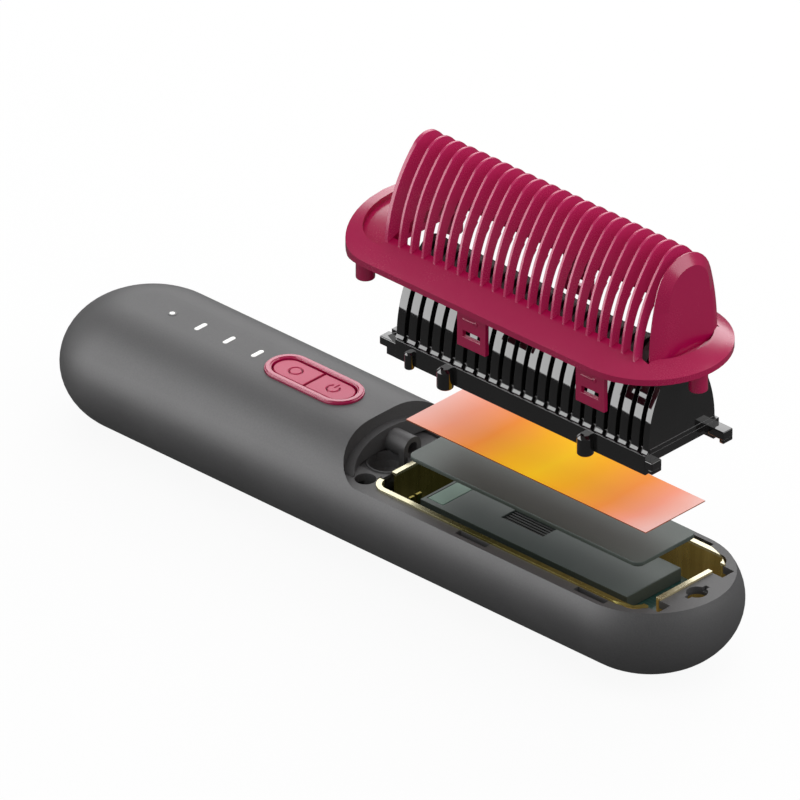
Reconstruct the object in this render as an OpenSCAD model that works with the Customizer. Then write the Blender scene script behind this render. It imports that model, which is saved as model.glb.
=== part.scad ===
// Cordless hair straightening brush, drawn as its exploded picture shows it.
// X runs along the body towards the head, Y across it, Z up; the body lies on Z = 0.
// A lift of 0 puts that layer back in its seat, so four zero lifts give the closed brush.

/* [Body] */
// Length of the body from the charging end to the head end
body_l = 222; // [200:1:245]
// Width of the body
body_w = 48; // [43:0.5:53]
// Height of the body
body_h = 33; // [30:0.25:36]
// Half width of the flat strip along the top and the underside
body_flat = 5; // [4:0.5:6]
// Wall thickness of the moulded body
wall = 2.2; // [1.8:0.1:2.4]
// Depth of the flat deck in the head below the body's top
deck_drop = 8.8; // [8.4:0.1:9.2]
// Thickness of that deck
deck_t = 2.2; // [1.6:0.2:2.6]
// Length of the opening, from the head end to its handle end
opening_l = 117.2; // [105:0.1:131]

/* [Exploded lifts] */
// Height of the cover above its seat
cover_lift = 65.5; // [0:0.5:90]
// Height of the heated comb above its seat
comb_lift = 44; // [0:0.5:60]
// Height of the heating film above its seat
film_lift = 20.4; // [0:0.1:30]
// Height of the heat plate above its seat
plate_lift = 10.5; // [0:0.1:15]

/* [Comb cover] */
// Distance from one rib to the next, evened out so that the ribs fill their row
rib_pitch = 4.05; // [3.6:0.05:4.6]
// Thickness of a rib
rib_t = 1; // [0.8:0.1:1.1]
// Extra thickness of the first rib, at the handle end
first_rib_more = 0.75; // [0:0.05:1]
// How far in from the cover's edge a rib's foot ends
rib_inset = 6.5; // [6.2:0.1:7.2]
// Height of a rib's top above the deck
rib_top = 31.5; // [30:0.5:38]
// Inward lean of a rib's straight sides, in degrees
rib_lean = 13.5; // [11:0.5:15]
// Height of the arch opening under the ribs, above their feet
arch_h = 15.2; // [12:0.4:18]
// Thickness of the cover's shell
cover_t = 2; // [1.6:0.1:2.2]
// Height of the cover's upright edge above the deck
edge_h = 1.8; // [1.4:0.1:2.2]
// Depth of the sunk pockets at both ends of the cover
pocket_d = 1.6; // [0.8:0.1:1.8]
// Width of a clip tab
clip_w = 9.8; // [8:0.2:12]
// Distance between the two clip tabs on one side
clip_pitch = 40.9; // [36:0.1:44]
// Height of a clip tab below the deck
clip_drop = 10.4; // [8:0.2:11]
// Diameter of the three locating posts
post_d = 5; // [4:0.1:5.2]

/* [Heated comb] */
// Height of the comb's tops above the deck
comb_top = 27.8; // [24:0.2:28.6]
// Inward lean of the comb's sides, in degrees
comb_lean = 15; // [13:0.5:16]
// Gap between a comb rib and the cover rib beside it
rib_gap = 0.3; // [0.25:0.05:0.5]
// Room between the comb's side rails and the tray's wall
rail_room = 3.25; // [3.2:0.05:3.6]
// Thickness of the side rails
rail_t = 2.05; // [1.6:0.05:2.4]
// Length of the corner tabs past the comb's end rails
corner_tab = 4.8; // [3:0.2:5]

/* [Heater stack] */
// How much shorter than the comb the heating film is
film_short = 6.5; // [6:0.1:12]
// How much shorter than the comb the heat plate is
plate_short = 9.2; // [8:0.1:14]
// How much shorter than the comb the heater block is
block_short = 17.7; // [16:0.1:24]
// Thickness of the heating film
film_t = 0.3; // [0.2:0.05:0.4]
// Thickness of the heat plate
plate_t = 1.2; // [0.8:0.1:1.4]
// Height of the heater block
block_h = 3.8; // [3:0.1:4]

/* [Keys and lights] */
// Length of the raised rim round the two keys
pad_l = 30.6; // [28:0.2:32]
// Width of that rim
pad_w = 13; // [12.4:0.2:14]
// Distance from the head's opening back to the middle of the keys
pad_back = 23.8; // [20:0.2:26]
// Height of the rim above the body
rim_up = 0.9; // [0.4:0.1:1.2]
// Travel of a key
key_travel = 0.7; // [0.4:0.05:0.75]
// Length of a light dash
dash_l = 4.2; // [3:0.1:5]
// Width of a light dash
dash_w = 1.3; // [1:0.1:1.6]
// Distance from the charging end to the dot light
dot_from_end = 31; // [28:0.5:36]

/* [Battery] */
// Gap between the cells and the hatch under them
cell_up = 1.4; // [1:0.1:1.6]
// Length kept free of the cells at the charging end
cell_from_end = 23; // [22:0.5:30]
// Length kept free of the cells before the bulkhead
cell_from_head = 14; // [12:0.5:20]

/* [Clearances] */
// Gap between the cover's edge and the body round it
cover_gap = 0.3; // [0.2:0.05:0.4]
// Gap between stacked flat layers when they are seated
layer_gap = 0.1; // [0.05:0.05:0.15]
// Radial gap round the locating posts
post_gap = 0.3; // [0.2:0.05:0.4]
// Gap round the keys
key_gap = 0.3; // [0.2:0.05:0.4]

/* [Hidden] */

// Fineness of curves: steps in the body's half section, in the crown and in the arches
section_steps = 32;
crown_steps = 20;
arch_steps = 22;
round_fn = 48;

// Body and opening
head_x = body_l / 2;
end_c = head_x - body_w / 2;
mid_z = body_h / 2;
side_r = body_w / 2 - body_flat;
deck_z = body_h - deck_drop;
deck_half = body_flat + side_r * sqrt(1 - pow((deck_z - mid_z) / mid_z, 2));
deck_low = deck_z - deck_t;
open_x = head_x - opening_l;
squircle_a = 15.3;
squircle_x = open_x + squircle_a;
bulkhead_t = 2.8;
bulkhead_x = open_x - bulkhead_t;
ledge_w = 2.4;

// Cover
cover_z = deck_z + layer_gap;
cover_half = deck_half - cover_gap;
edge_z = deck_z + edge_h;
crown_rise = body_h - edge_z;
crown_r = (pow(cover_half, 2) + pow(crown_rise, 2)) / (2 * crown_rise);
pocket_more = 1.2;
pocket_half = cover_half - 7.3;
rib_half = cover_half - rib_inset;
rib_z = deck_z + 3.8;
window_half = rib_half - 1.8;
cap_x = head_x - 13;
cap_t = 2.4;
cap_half = rib_half - 2.1;
cap_front_half = cap_half - 3.7;
post_x = head_x - 8;
side_post_x = open_x + 9.5;
side_post_y = cover_half - 5.3;
post_low = deck_z - 6.6;
clip_x = head_x - 67.3;
clip_y = cover_half - 2;
clip_t = 1.3;

// Rows of ribs: the comb's last rib is thinner and ends just before the end cap
rib_x = open_x + 14.55;
last_less = 0.5;
comb_end_x = cap_x - 0.6;
row_l = comb_end_x + rib_gap + last_less - rib_x - first_rib_more;
rib_count = round(row_l / rib_pitch);
pitch = row_l / rib_count;
comb_rib_t = pitch - rib_t - 2 * rib_gap;

// Tray and the driver board in it
tray_x0 = open_x + 13.2;
tray_x1 = head_x - 12.3;
tray_t = 0.8;
tray_half = clip_y - clip_t / 2 - 1.15;
tray_r = 4;
tray_gap = 0.2;
tray_low = 4.4;
tray_screw_x = [tray_x0 + 3.6, tray_x1 - 4.2];
lip_out = 0.7;
lip_t = 0.6;
board_z = tray_low + tray_t + 3.4;
board_t = 1.6;
board_top = board_z + board_t;
board_x0 = tray_x0 + 4;
board_x1 = tray_x1 - 5.7;
board_half = tray_half - 2.1;
board_screw_x = [board_x0 + 7.5, board_x1 - 3];
board_screw_y = board_half - 3;
terminal_y0 = 2.4 - board_half;
terminal_y1 = terminal_y0 + 7.4;

// Bowl between the handle and the tray, with its screw boss
bowl_half = deck_half - 9.4;
bowl_low = board_top + 1.3;
bowl_t = 1.5;
bowl_boss_r = 3.2;
bowl_boss_y = 1.5;
bowl_boss_z = deck_z + 1.4;

// Stack from the base board up to the comb's floor
block_top = deck_z - 3.1;
block_z = block_top - block_h;
base_t = 1.6;
base_z = block_z - base_t;
part_h = base_z - board_top - 0.9;
plate_z = block_top + layer_gap;
plate_r = 2.2;
film_z = plate_z + plate_t + layer_gap;
comb_floor_z = film_z + film_t + layer_gap;
comb_floor_t = 1.4;

// Comb's frame, and what it covers
comb_x0 = tray_x0 + tray_t + 0.4;
comb_x1 = comb_end_x + 0.2;
comb_l = comb_x1 - comb_x0;
stack_x = (comb_x0 + comb_x1) / 2;
rail_half = tray_half - tray_t - rail_room;
rail_in = rail_half - rail_t;
rail_low = deck_z - 6.5;
rail_top = comb_floor_z + 0.3;
comb_half = rail_half - 0.75;
boss_r = 2.2;
boss_y = rail_half + 0.65;
tab_y0 = rail_half - 3.6;
tab_gap = 0.4;
left_tab = min(2.5, corner_tab);
film_gap = 0.6;
film_w = 2 * (rail_in - film_gap);
film_l = comb_l - film_short;
film_x = stack_x + 1.1;
plate_l = comb_l - plate_short;
block_l = comb_l - block_short;
block_w = film_w - 1.8;
block_x = stack_x - 0.5;
pad_seat_l = 5.4;
pad_seat_d = 0.5;

// Keys, lights and the board under them
pad_x = open_x - pad_back;
bezel_z = body_h - 1.2;
bezel_top = body_h + rim_up;
key_l = pad_l - 4.4;
key_w = pad_w - 4.4;
key_top = body_h + 0.3;
flange_more = 0.9;
key_split = 0.8;
board_low = body_h - 8.7;
switch_low = board_low + board_t;
plunger_top = switch_low + 2;
light_x = pad_x - 20;
light_pitch = (light_x - dot_from_end + head_x) / 3;
control_x0 = 19 - head_x;
control_x1 = bulkhead_x - 7.5;
control_half = body_w / 2 - 11.2;
control_screw_y = control_half - 3.2;

// Handle
cell_x0 = cell_from_end - head_x;
cell_x1 = bulkhead_x - cell_from_head;
cell_l = cell_x1 - cell_x0;
cell_low = wall + cell_up;
cell_high = board_low - 2.3;
cell_d = min(cell_high - cell_low, 0.845 * (body_w / 2 - wall));
cell_y = cell_d / 2 + 0.2;
cell_z = (cell_low + cell_high) / 2;
link_t = 0.4;
hatch_x0 = 10 - head_x;
hatch_x1 = bulkhead_x - 1.5;
hatch_half = body_w / 2 - 10;
hatch_r = 6;
hatch_top = deck_z - 12;
screw_sink = 1.5;
hatch_screws = [for (s = [-1, 1]) each [[hatch_x0 + 6, 7 * s], [hatch_x1 - 2.5, 8.5 * s]]];
socket_z = mid_z - 1.5;
socket_w = 8.9;
socket_h = 3.2;
socket_t = 0.3;
charge_x0 = 5.6 - head_x;
charge_x1 = 13 - head_x;
charge_half = 5.6;
charge_top = socket_z - socket_h / 2;
charge_low = charge_top - 1.4;
lead_z = tray_low + tray_t + 1.8;
lead_r = 0.8;
lead_y = 3;

// Small helpers
module x_box(x0, x1, half, z0, z1) {
    translate([x0, -half, z0]) cube([x1 - x0, 2 * half, z1 - z0]);
}

module box(x0, x1, y0, y1, z0, z1) {
    translate([x0, y0, z0]) cube([x1 - x0, y1 - y0, z1 - z0]);
}

module both_sides() {
    children();
    mirror([0, 1, 0]) children();
}

module rod(r, z0, z1) {
    translate([0, 0, z0]) cylinder(r = r, h = z1 - z0, $fn = round_fn);
}

// Flat slot with round ends along X, centred on the origin
module slot_2d(l, w) {
    square([l - w, w], center = true);
    for (s = [-1, 1]) translate([s * (l - w) / 2, 0]) circle(d = w, $fn = round_fn);
}

module slot(l, w, z0, z1) {
    translate([0, 0, z0]) linear_extrude(z1 - z0) slot_2d(l, w);
}

module round_plate(x0, x1, half, r, z0, z1) {
    translate([0, 0, z0]) linear_extrude(z1 - z0) {
        translate([x0 + r, -half]) square([x1 - x0 - 2 * r, 2 * half]);
        translate([x0, r - half]) square([x1 - x0, 2 * (half - r)]);
        for (x = [x0 + r, x1 - r], y = [r - half, half - r])
            translate([x, y]) circle(r = r, $fn = round_fn);
    }
}

// Screw with a pan head: the shaft points up from the head, or down when flip is true
module screw(head_r, head_h, shaft_r, shaft_l, flip = false) {
    mirror([0, 0, flip ? 1 : 0]) {
        difference() {
            rod(head_r, -head_h, 0);
            rod(head_r * 0.45, -head_h - 1, 0.45 - head_h);
        }
        rod(shaft_r, -0.1, shaft_l);
    }
}

// Outer form of the body, drawn in by a wall thickness d
function half_section(d) = concat(
    [[0, d]],
    [for (i = [0:section_steps]) let (a = -90 + 180 * i / section_steps)
        [body_flat + (side_r - d) * cos(a), mid_z + (mid_z - d) * sin(a)]],
    [[0, body_h - d]]);

module pill(d) {
    translate([-end_c, 0, 0]) rotate([90, 0, 90]) linear_extrude(2 * end_c) {
        polygon(half_section(d));
        mirror([1, 0]) polygon(half_section(d));
    }
    for (s = [0, 180]) rotate([0, 0, s]) translate([end_c, 0, 0])
        rotate([0, 0, -90]) rotate_extrude(angle = 180, $fn = 96) polygon(half_section(d));
}

// Handle end of the opening, a squarish curve, then straight to x1
function squircle(half, a, x1) = concat(
    [for (i = [0:crown_steps * 2]) let (t = -90 + 90 * i / crown_steps, k = 2 / 3)
        [squircle_x - a * pow(max(cos(t), 0), k), half * sign(t) * pow(abs(sin(t)), k)]],
    [[x1, half], [x1, -half]]);

// Crown of the cover, drawn in by d: a half section from the middle to its upright edge
function crown_z(y, d) = body_h - crown_r + sqrt(pow(crown_r - d, 2) - y * y);
function crown_half(d, z0) = let (h = cover_half - d) concat(
    [[0, z0], [h, z0], [h, crown_z(h, d) - 0.5]],
    [for (i = [0:crown_steps]) let (y = (h - 0.6) * (1 - i / crown_steps)) [y, crown_z(y, d)]]);

module dome(d, z0, x0) {
    translate([x0, 0, 0]) rotate([90, 0, 90]) linear_extrude(end_c - x0) {
        polygon(crown_half(d, z0));
        mirror([1, 0]) polygon(crown_half(d, z0));
    }
    translate([end_c, 0, 0]) rotate([0, 0, -90])
        rotate_extrude(angle = 180, $fn = 96) polygon(crown_half(d, z0));
}

// Arch with straight leaning sides and a round top that runs into them
function arch(half, z0, top, lean) = let (
    r = (cos(lean) * half - sin(lean) * (top - z0)) / (1 - sin(lean)))
    concat([[half, z0]],
        [for (i = [0:arch_steps]) let (a = lean + (180 - 2 * lean) * i / arch_steps)
            [r * cos(a), top - r + r * sin(a)]],
        [[-half, z0]]);

// Height of the body's underside at a point in plan
function under_z(x, y) = let (
    rho = norm([max(abs(x) - end_c, 0), y]),
    t = max(rho - body_flat, 0) / side_r)
    mid_z * (1 - sqrt(1 - t * t));

// The children at each hatch screw, with Z = 0 on the underside there
module at_hatch_screws() {
    for (p = hatch_screws) translate([p[0], p[1], under_z(p[0], p[1])]) children();
}

module at_control_screws() {
    for (x = [control_x0 + 3, control_x1 - 3], y = [-control_screw_y, control_screw_y])
        translate([x, y, 0]) children();
}

module slice(x0, t) {
    translate([x0, 0, 0]) rotate([90, 0, 90]) linear_extrude(t) children();
}

// Hollow body with the handle's chamber, the head's chamber and the open top of the head
module housing_blank() {
    difference() {
        pill(0);
        intersection() {
            pill(wall);
            union() {
                x_box(-head_x, bulkhead_x, body_w, 0, body_h);
                x_box(open_x, head_x, body_w, 0, deck_low);
            }
        }
        translate([0, 0, deck_z]) linear_extrude(body_h)
            polygon(squircle(deck_half + 0.25, squircle_a, squircle_x + 0.01));
        x_box(squircle_x, head_x + 1, body_w, deck_z, body_h + 1);
    }
    // Sunk ledge under the cover's handle end
    intersection() {
        difference() {
            dome(cover_t + pocket_more + 0.15, deck_z - 1, open_x - 1);
            translate([0, 0, deck_z - 2]) linear_extrude(body_h)
                polygon(squircle(deck_half - ledge_w, squircle_a - ledge_w, head_x));
        }
        x_box(open_x - 0.5, side_post_x - post_d / 2 - 0.5, body_w, 0, body_h);
    }
    // Bowl between the handle and the tray
    x_box(open_x - 0.1, tray_x0 - 0.1, bowl_half + 2, bowl_low, deck_z - 0.5);
}

// Screw boss that stands out of the bowl's back wall over an upright web
module bowl_boss() {
    face_x = open_x + 9.2;
    translate([open_x + 1, bowl_boss_y, bowl_boss_z]) rotate([0, 90, 0])
        cylinder(r = bowl_boss_r, h = face_x - open_x - 1, $fn = round_fn);
    box(face_x - 1.8, face_x, bowl_boss_y - bowl_boss_r, bowl_boss_y + bowl_boss_r,
        bowl_low + 0.8 * bowl_t, bowl_boss_z);
}

module housing_cuts() {
    // Bowl, tray opening and the notches for the comb's corner tabs
    x_box(open_x + 2, tray_x0 + 1, bowl_half, bowl_low + bowl_t, deck_z + 0.01);
    round_plate(tray_x0 - tray_gap, tray_x1 + tray_gap, tray_half + tray_gap, tray_r + tray_gap,
        deck_low - 1, deck_z + 1);
    both_sides() {
        box(comb_x0 - left_tab - tab_gap, tray_x0 + 1, tab_y0 - tab_gap, rail_half + tab_gap,
            deck_z - 6, deck_z + 0.01);
        box(tray_x1 - 5, comb_x1 + corner_tab + tab_gap, tab_y0 - tab_gap, rail_half + tab_gap,
            deck_z - 6, deck_z + 1);
        for (x = [clip_x, clip_x + clip_pitch])
            translate([x, 0, 0]) box(-clip_w / 2 - 0.35, clip_w / 2 + 0.35,
                clip_y - clip_t / 2 - 0.3, clip_y + clip_t / 2 + 0.3, deck_z - clip_drop - 1, deck_z + 1);
        translate([side_post_x, side_post_y, 0]) rod(post_d / 2 + post_gap, post_low - 0.4, deck_z + 1);
    }
    // Hole for the end post, with its two key notches
    translate([post_x, 0, 0]) {
        rod(post_d / 2 + post_gap, deck_low - 1, deck_z + 1);
        x_box(-0.7, 0.7, post_d / 2 + post_gap + 1.2, deck_z - 1.2, deck_z + 1);
    }
}

// Openings in the handle: keys, lights, charging socket, hatch and the way for the wires
module handle_cuts() {
    translate([pad_x, 0, 0]) {
        slot(pad_l, pad_w, bezel_z, body_h + 1);
        slot(key_l + 2 * flange_more + 2 * key_gap, key_w + 2 * flange_more + 2 * key_gap,
            body_h - wall - 1, body_h + 1);
    }
    for (i = [0:2]) translate([light_x - i * light_pitch, 0, 0]) rotate([0, 0, 90])
        slot(dash_l + 0.1, dash_w + 0.1, body_h - wall - 1, body_h + 1);
    translate([light_x - 3 * light_pitch, 0, 0]) rod(1.3, body_h - wall - 1, body_h + 1);
    translate([-head_x - 1, 0, socket_z]) rotate([90, 0, 90])
        linear_extrude(wall + 3) slot_2d(socket_w + 0.5, socket_h + 0.5);
    round_plate(hatch_x0, hatch_x1, hatch_half, hatch_r, -1, hatch_top);
    x_box(bulkhead_x - 1, open_x + 1, 5.6, board_top - 0.2, board_top + 1);
    for (y = [-lead_y, lead_y]) translate([bulkhead_x - 1, y, lead_z]) rotate([0, 90, 0])
        cylinder(r = lead_r + 0.3, h = bulkhead_t + 3, $fn = 24);
}

// Posts inside the body for the hatch screws, the control board, the charging board and the tray
module housing_posts() {
    // The hatch posts hang from the top and stop short of the hatch
    intersection() {
        union() {
            pill(wall + 0.3);
            intersection() {
                pill(wall / 2);
                x_box(-head_x, head_x, body_w, mid_z, body_h);
            }
        }
        for (p = hatch_screws) translate([p[0], p[1], 0]) rod(2.5, 0, body_h);
    }
    intersection() {
        pill(wall / 2);
        union() {
            at_control_screws() rod(2.4, switch_low, body_h);
            for (y = [-3.4, 3.4]) translate([charge_x0 + 2.3, y, 0]) rod(1.8, 0, charge_low);
            for (x = tray_screw_x) translate([x, 0, 0]) rod(2.4, 0, tray_low);
        }
    }
}

module post_bores() {
    at_hatch_screws() rod(1, wall, wall + 7);
    at_control_screws() rod(0.9, switch_low - 1, switch_low + 4);
    for (x = tray_screw_x)
        translate([x, 0, 0]) rod(0.9, 1.4, tray_low + 1);
    translate([open_x + 3, bowl_boss_y, bowl_boss_z]) rotate([0, 90, 0])
        cylinder(r = 1.7, h = 8, $fn = round_fn);
}

module main_housing() {
    color([0.36, 0.36, 0.36]) difference() {
        union() {
            difference() {
                housing_blank();
                housing_cuts();
                handle_cuts();
            }
            bowl_boss();
            housing_posts();
        }
        post_bores();
    }
}

// Hatch in the underside of the handle, with sunk holes for its four screws
module bottom_cover() {
    color([0.3, 0.3, 0.3]) difference() {
        intersection() {
            difference() {
                pill(0);
                pill(wall);
            }
            round_plate(hatch_x0 + 0.15, hatch_x1 - 0.15, hatch_half - 0.15, hatch_r, -1, hatch_top);
        }
        at_hatch_screws() {
            rod(1.2, -2, wall + 2);
            rod(1.9, -2, screw_sink);
        }
    }
}

module cover_screws() {
    color([0.62, 0.63, 0.65]) at_hatch_screws() translate([0, 0, screw_sink]) screw(1.7, 1, 1, 6);
}

// Raised rim round the keys, with a rounded top edge
module button_bezel() {
    color([0.62, 0.16, 0.34]) translate([pad_x, 0, 0]) difference() {
        union() {
            slot(pad_l - 0.1, pad_w - 0.1, bezel_z, bezel_top - 0.35);
            slot(pad_l - 0.8, pad_w - 0.8, bezel_z, bezel_top);
        }
        slot(key_l + 2 * key_gap, key_w + 2 * key_gap, bezel_z - 1, bezel_top + 1);
        slot(key_l + 2 * key_gap + 0.7, key_w + 2 * key_gap + 0.7, bezel_top - 0.3, bezel_top + 1);
    }
}

// One half of the oval of keys: side is 1 for the key nearer the head, else -1
module key_half(side) {
    keep_x = side > 0 ? key_split / 2 : -pad_l;
    intersection() {
        union() {
            slot(key_l - 0.6, key_w - 0.6, bezel_z - 1, key_top);
            slot(key_l, key_w, bezel_z - 1, key_top - 0.3);
            slot(key_l + 2 * flange_more, key_w + 2 * flange_more, bezel_z - 1, bezel_z - 0.1);
        }
        box(keep_x, keep_x + pad_l - key_split / 2, -pad_w, pad_w, 0, body_h + 5);
    }
    translate([side * key_l / 4, 0, 0]) rod(1.5, plunger_top + key_travel + 0.1, bezel_z - 0.5);
}

// Head side key, with a power sign cut into it: an open ring and a bar
module power_key() {
    color([0.8, 0.37, 0.48]) translate([pad_x, 0, 0]) difference() {
        key_half(1);
        translate([key_l / 4, 0, key_top - 0.3]) {
            rotate([0, 0, 125]) rotate_extrude(angle = 290, $fn = round_fn)
                translate([1.45, 0]) square([0.5, 1]);
            box(-0.25, 0.25, 0.5, 2.5, 0, 1);
        }
    }
}

// Handle side key, with a plain ring cut into it
module mode_key() {
    color([0.8, 0.37, 0.48]) translate([pad_x, 0, 0]) difference() {
        key_half(-1);
        translate([-key_l / 4, 0, key_top - 0.3]) difference() {
            rod(2, 0, 1);
            rod(1.5, -1, 2);
        }
    }
}

// Clear strip with four lenses: three dashes and a dot
module light_guide() {
    bar_z = body_h - wall - 2.4;
    color([0.95, 0.95, 0.95]) {
        for (i = [0:2]) translate([light_x - i * light_pitch, 0, 0]) rotate([0, 0, 90])
            slot(dash_l, dash_w, bar_z - 0.4, body_h + 0.1);
        translate([light_x - 3 * light_pitch, 0, 0]) rod(1.25, bar_z - 0.4, body_h + 0.1);
        x_box(light_x - 3 * light_pitch - 1, light_x + 1, 0.6, bar_z, bar_z + 1);
    }
}

module light_chips() {
    color([0.95, 0.93, 0.8]) for (i = [0:3]) translate([light_x - i * light_pitch, 0, 0])
        x_box(-1, 1, 0.8, switch_low, switch_low + 0.8);
}

module control_board() {
    color([0.1, 0.35, 0.22]) difference() {
        round_plate(control_x0, control_x1, control_half, 1.5, board_low, switch_low);
        at_control_screws() rod(1.2, board_low - 1, switch_low + 1);
    }
}

module control_board_screws() {
    color([0.62, 0.63, 0.65]) at_control_screws() translate([0, 0, board_low]) screw(1.8, 1, 0.9, 5);
}

module push_switch(x) {
    translate([x, 0, 0]) {
        x_box(-3, 3, 3, switch_low, switch_low + 1.4);
        rod(1.6, switch_low + 1, plunger_top);
        both_sides() for (sx = [-2.2, 2.2])
            box(sx - 0.4, sx + 0.4, 2.9, 3.8, switch_low, switch_low + 0.3);
    }
}

module power_switch() {
    color([0.15, 0.15, 0.15]) push_switch(pad_x + key_l / 4);
}

module mode_switch() {
    color([0.15, 0.15, 0.15]) push_switch(pad_x - key_l / 4);
}

// Round cell lying along X, with the small raised terminal at its head end
module cell(y) {
    translate([cell_x0, y, cell_z]) rotate([0, 90, 0]) {
        cylinder(d = cell_d, h = cell_l - 0.8, $fn = 72);
        cylinder(d = cell_d / 3, h = cell_l, $fn = round_fn);
    }
}

module battery_cell_left() {
    color([0.18, 0.36, 0.55]) cell(cell_y);
}

module battery_cell_right() {
    color([0.18, 0.36, 0.55]) cell(-cell_y);
}

// Saddle that the two cells lie in
module battery_cradle() {
    color([0.13, 0.13, 0.13]) difference() {
        intersection() {
            x_box(cell_x0 + 3, cell_x1 - 3, body_w / 2, wall, cell_z - cell_d / 4);
            pill(wall + 0.1);
        }
        for (s = [-1, 1]) translate([cell_x0 - 1, s * cell_y, cell_z]) rotate([0, 90, 0])
            cylinder(d = cell_d + 0.1, h = cell_l + 2, $fn = 72);
        // Two windows in the floor
        for (s = [-1, 1]) translate([(cell_x0 + cell_x1) / 2 + s * cell_l * 0.17, 0, 0])
            x_box(-cell_l * 0.09, cell_l * 0.09, 6, 0, cell_z);
    }
}

module cell_link(x) {
    x_box(x, x + link_t, cell_y + 3, cell_z - 3, cell_z + 3);
    x_box(x, x + link_t, lead_y + 1.5, lead_z - 1, cell_z);
}

module cell_link_front() {
    color([0.75, 0.74, 0.7]) cell_link(cell_x1);
}

module cell_link_rear() {
    color([0.75, 0.74, 0.7]) cell_link(cell_x0 - link_t);
}

module charging_board() {
    color([0.1, 0.35, 0.22]) x_box(charge_x0, charge_x1, charge_half, charge_low, charge_top);
}

// Charging socket: a thin oval shell with a tongue inside
module charging_socket() {
    translate([0.5 - head_x, 0, socket_z]) rotate([90, 0, 90]) color([0.72, 0.73, 0.75]) {
        difference() {
            linear_extrude(7.3) slot_2d(socket_w, socket_h);
            translate([0, 0, -1]) linear_extrude(7) slot_2d(socket_w - 2 * socket_t, socket_h - 2 * socket_t);
        }
        translate([-3.3, -0.35, 1]) cube([6.6, 0.7, 5.5]);
    }
}

// Wire from a cell link through the bulkhead, up to the driver board
module lead(y) {
    end_x = board_x0 + 4;
    start_x = cell_x1 + link_t;
    translate([start_x, y, lead_z]) rotate([0, 90, 0]) cylinder(r = lead_r, h = end_x - start_x, $fn = 24);
    translate([end_x, y, lead_z]) sphere(r = lead_r, $fn = 24);
    translate([end_x, y, 0]) rod(lead_r, lead_z, board_z);
}

module positive_lead() {
    color([0.7, 0.1, 0.1]) lead(lead_y);
}

module negative_lead() {
    color([0.1, 0.1, 0.1]) lead(-lead_y);
}

// Flat cable from the control board down behind the bulkhead and under the bowl
module ribbon_cable() {
    drop_x = bulkhead_x - 2.4;
    run_z = board_top + 0.1;
    color([0.85, 0.85, 0.8]) {
        x_box(control_x1 - 6, drop_x + 0.4, 5, board_low - 0.4, board_low);
        x_box(drop_x, drop_x + 0.4, 5, run_z, board_low);
        x_box(drop_x, board_x0 + 8, 5, run_z, run_z + 0.4);
        x_box(board_x0 + 5, board_x0 + 8, 5, board_top, run_z + 0.2);
    }
}

module tray_inside(z0, z1) {
    round_plate(tray_x0 + tray_t, tray_x1 - tray_t, tray_half - tray_t, tray_r - tray_t, z0, z1);
}

// Bright metal tray that hangs in the deck by its lip
module heat_tray() {
    color([0.72, 0.6, 0.3]) difference() {
        union() {
            intersection() {
                round_plate(tray_x0, tray_x1, tray_half, tray_r, tray_low, deck_z);
                pill(wall + 0.3);
            }
            // The lip, kept inside the cover that comes down round it
            intersection() {
                round_plate(tray_x0 - lip_out, tray_x1 + lip_out, tray_half + lip_out, tray_r + lip_out,
                    deck_z, deck_z + lip_t);
                dome(cover_t + 0.35, deck_z - 1, open_x);
            }
        }
        difference() {
            union() {
                intersection() {
                    tray_inside(tray_low + tray_t, deck_z - 3);
                    pill(wall + 0.3 + tray_t);
                }
                tray_inside(mid_z, deck_z + 2);
            }
            for (x = board_screw_x, y = [-board_screw_y, board_screw_y])
                translate([x, y, 0]) rod(2.2, tray_low, board_z);
        }
        for (x = board_screw_x, y = [-board_screw_y, board_screw_y])
            translate([x, y, 0]) rod(0.9, tray_low + tray_t, board_z + 1);
        for (x = tray_screw_x) translate([x, 0, 0]) rod(1.2, tray_low - 1, board_z);
        // Notches for the comb's corner tabs and holes for the wires
        both_sides() for (x = [tray_x0 - 2, tray_x1 - 2])
            box(x, x + 4, tab_y0 - tab_gap, rail_half + tab_gap, deck_z - 6, deck_z + 2);
        x_box(tray_x0 - 1, tray_x0 + 2, 5.6, board_top - 0.2, board_top + 1);
        for (y = [-lead_y, lead_y]) translate([tray_x0 - 1, y, lead_z]) rotate([0, 90, 0])
            cylinder(r = lead_r + 0.2, h = 3, $fn = 24);
    }
}

module tray_screws() {
    color([0.62, 0.63, 0.65]) for (x = tray_screw_x)
        translate([x, 0, tray_low + tray_t]) screw(1.8, 0.9, 0.9, 3, true);
}

module driver_board() {
    color([0.1, 0.35, 0.22]) difference() {
        round_plate(board_x0, board_x1, board_half, 1.5, board_z, board_top);
        for (x = board_screw_x, y = [-board_screw_y, board_screw_y])
            translate([x, y, 0]) rod(1.2, board_z - 1, board_top + 1);
    }
}

module driver_board_screws() {
    color([0.62, 0.63, 0.65]) for (x = board_screw_x, y = [-board_screw_y, board_screw_y])
        translate([x, y, board_top]) screw(1.8, 0.9, 0.9, 4, true);
}

// Toroid coil standing on its face
module power_inductor() {
    color([0.62, 0.36, 0.16]) translate([board_x0 + 24, 0, board_top]) difference() {
        rod(5.5, 0, part_h - 0.4);
        rod(2, -1, part_h);
    }
}

module driver_capacitors() {
    color([0.2, 0.22, 0.28]) for (y = [-4.5, 4.5])
        translate([board_x0 + 40, y, board_top]) rod(2.6, 0, part_h);
}

module driver_transistors() {
    color([0.1, 0.1, 0.1]) for (y = [-6, 6]) translate([board_x0 + 54, y, 0]) {
        x_box(-3.2, 3.2, 3, board_top, board_top + part_h / 2);
        x_box(3.1, 5, 2.6, board_top, board_top + 0.4);
    }
}

module terminal_block() {
    color([0.2, 0.19, 0.17])
        box(board_x0 + 1.2, board_x0 + 4.4, terminal_y0, terminal_y1, board_top, rail_low - 0.5);
}

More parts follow.
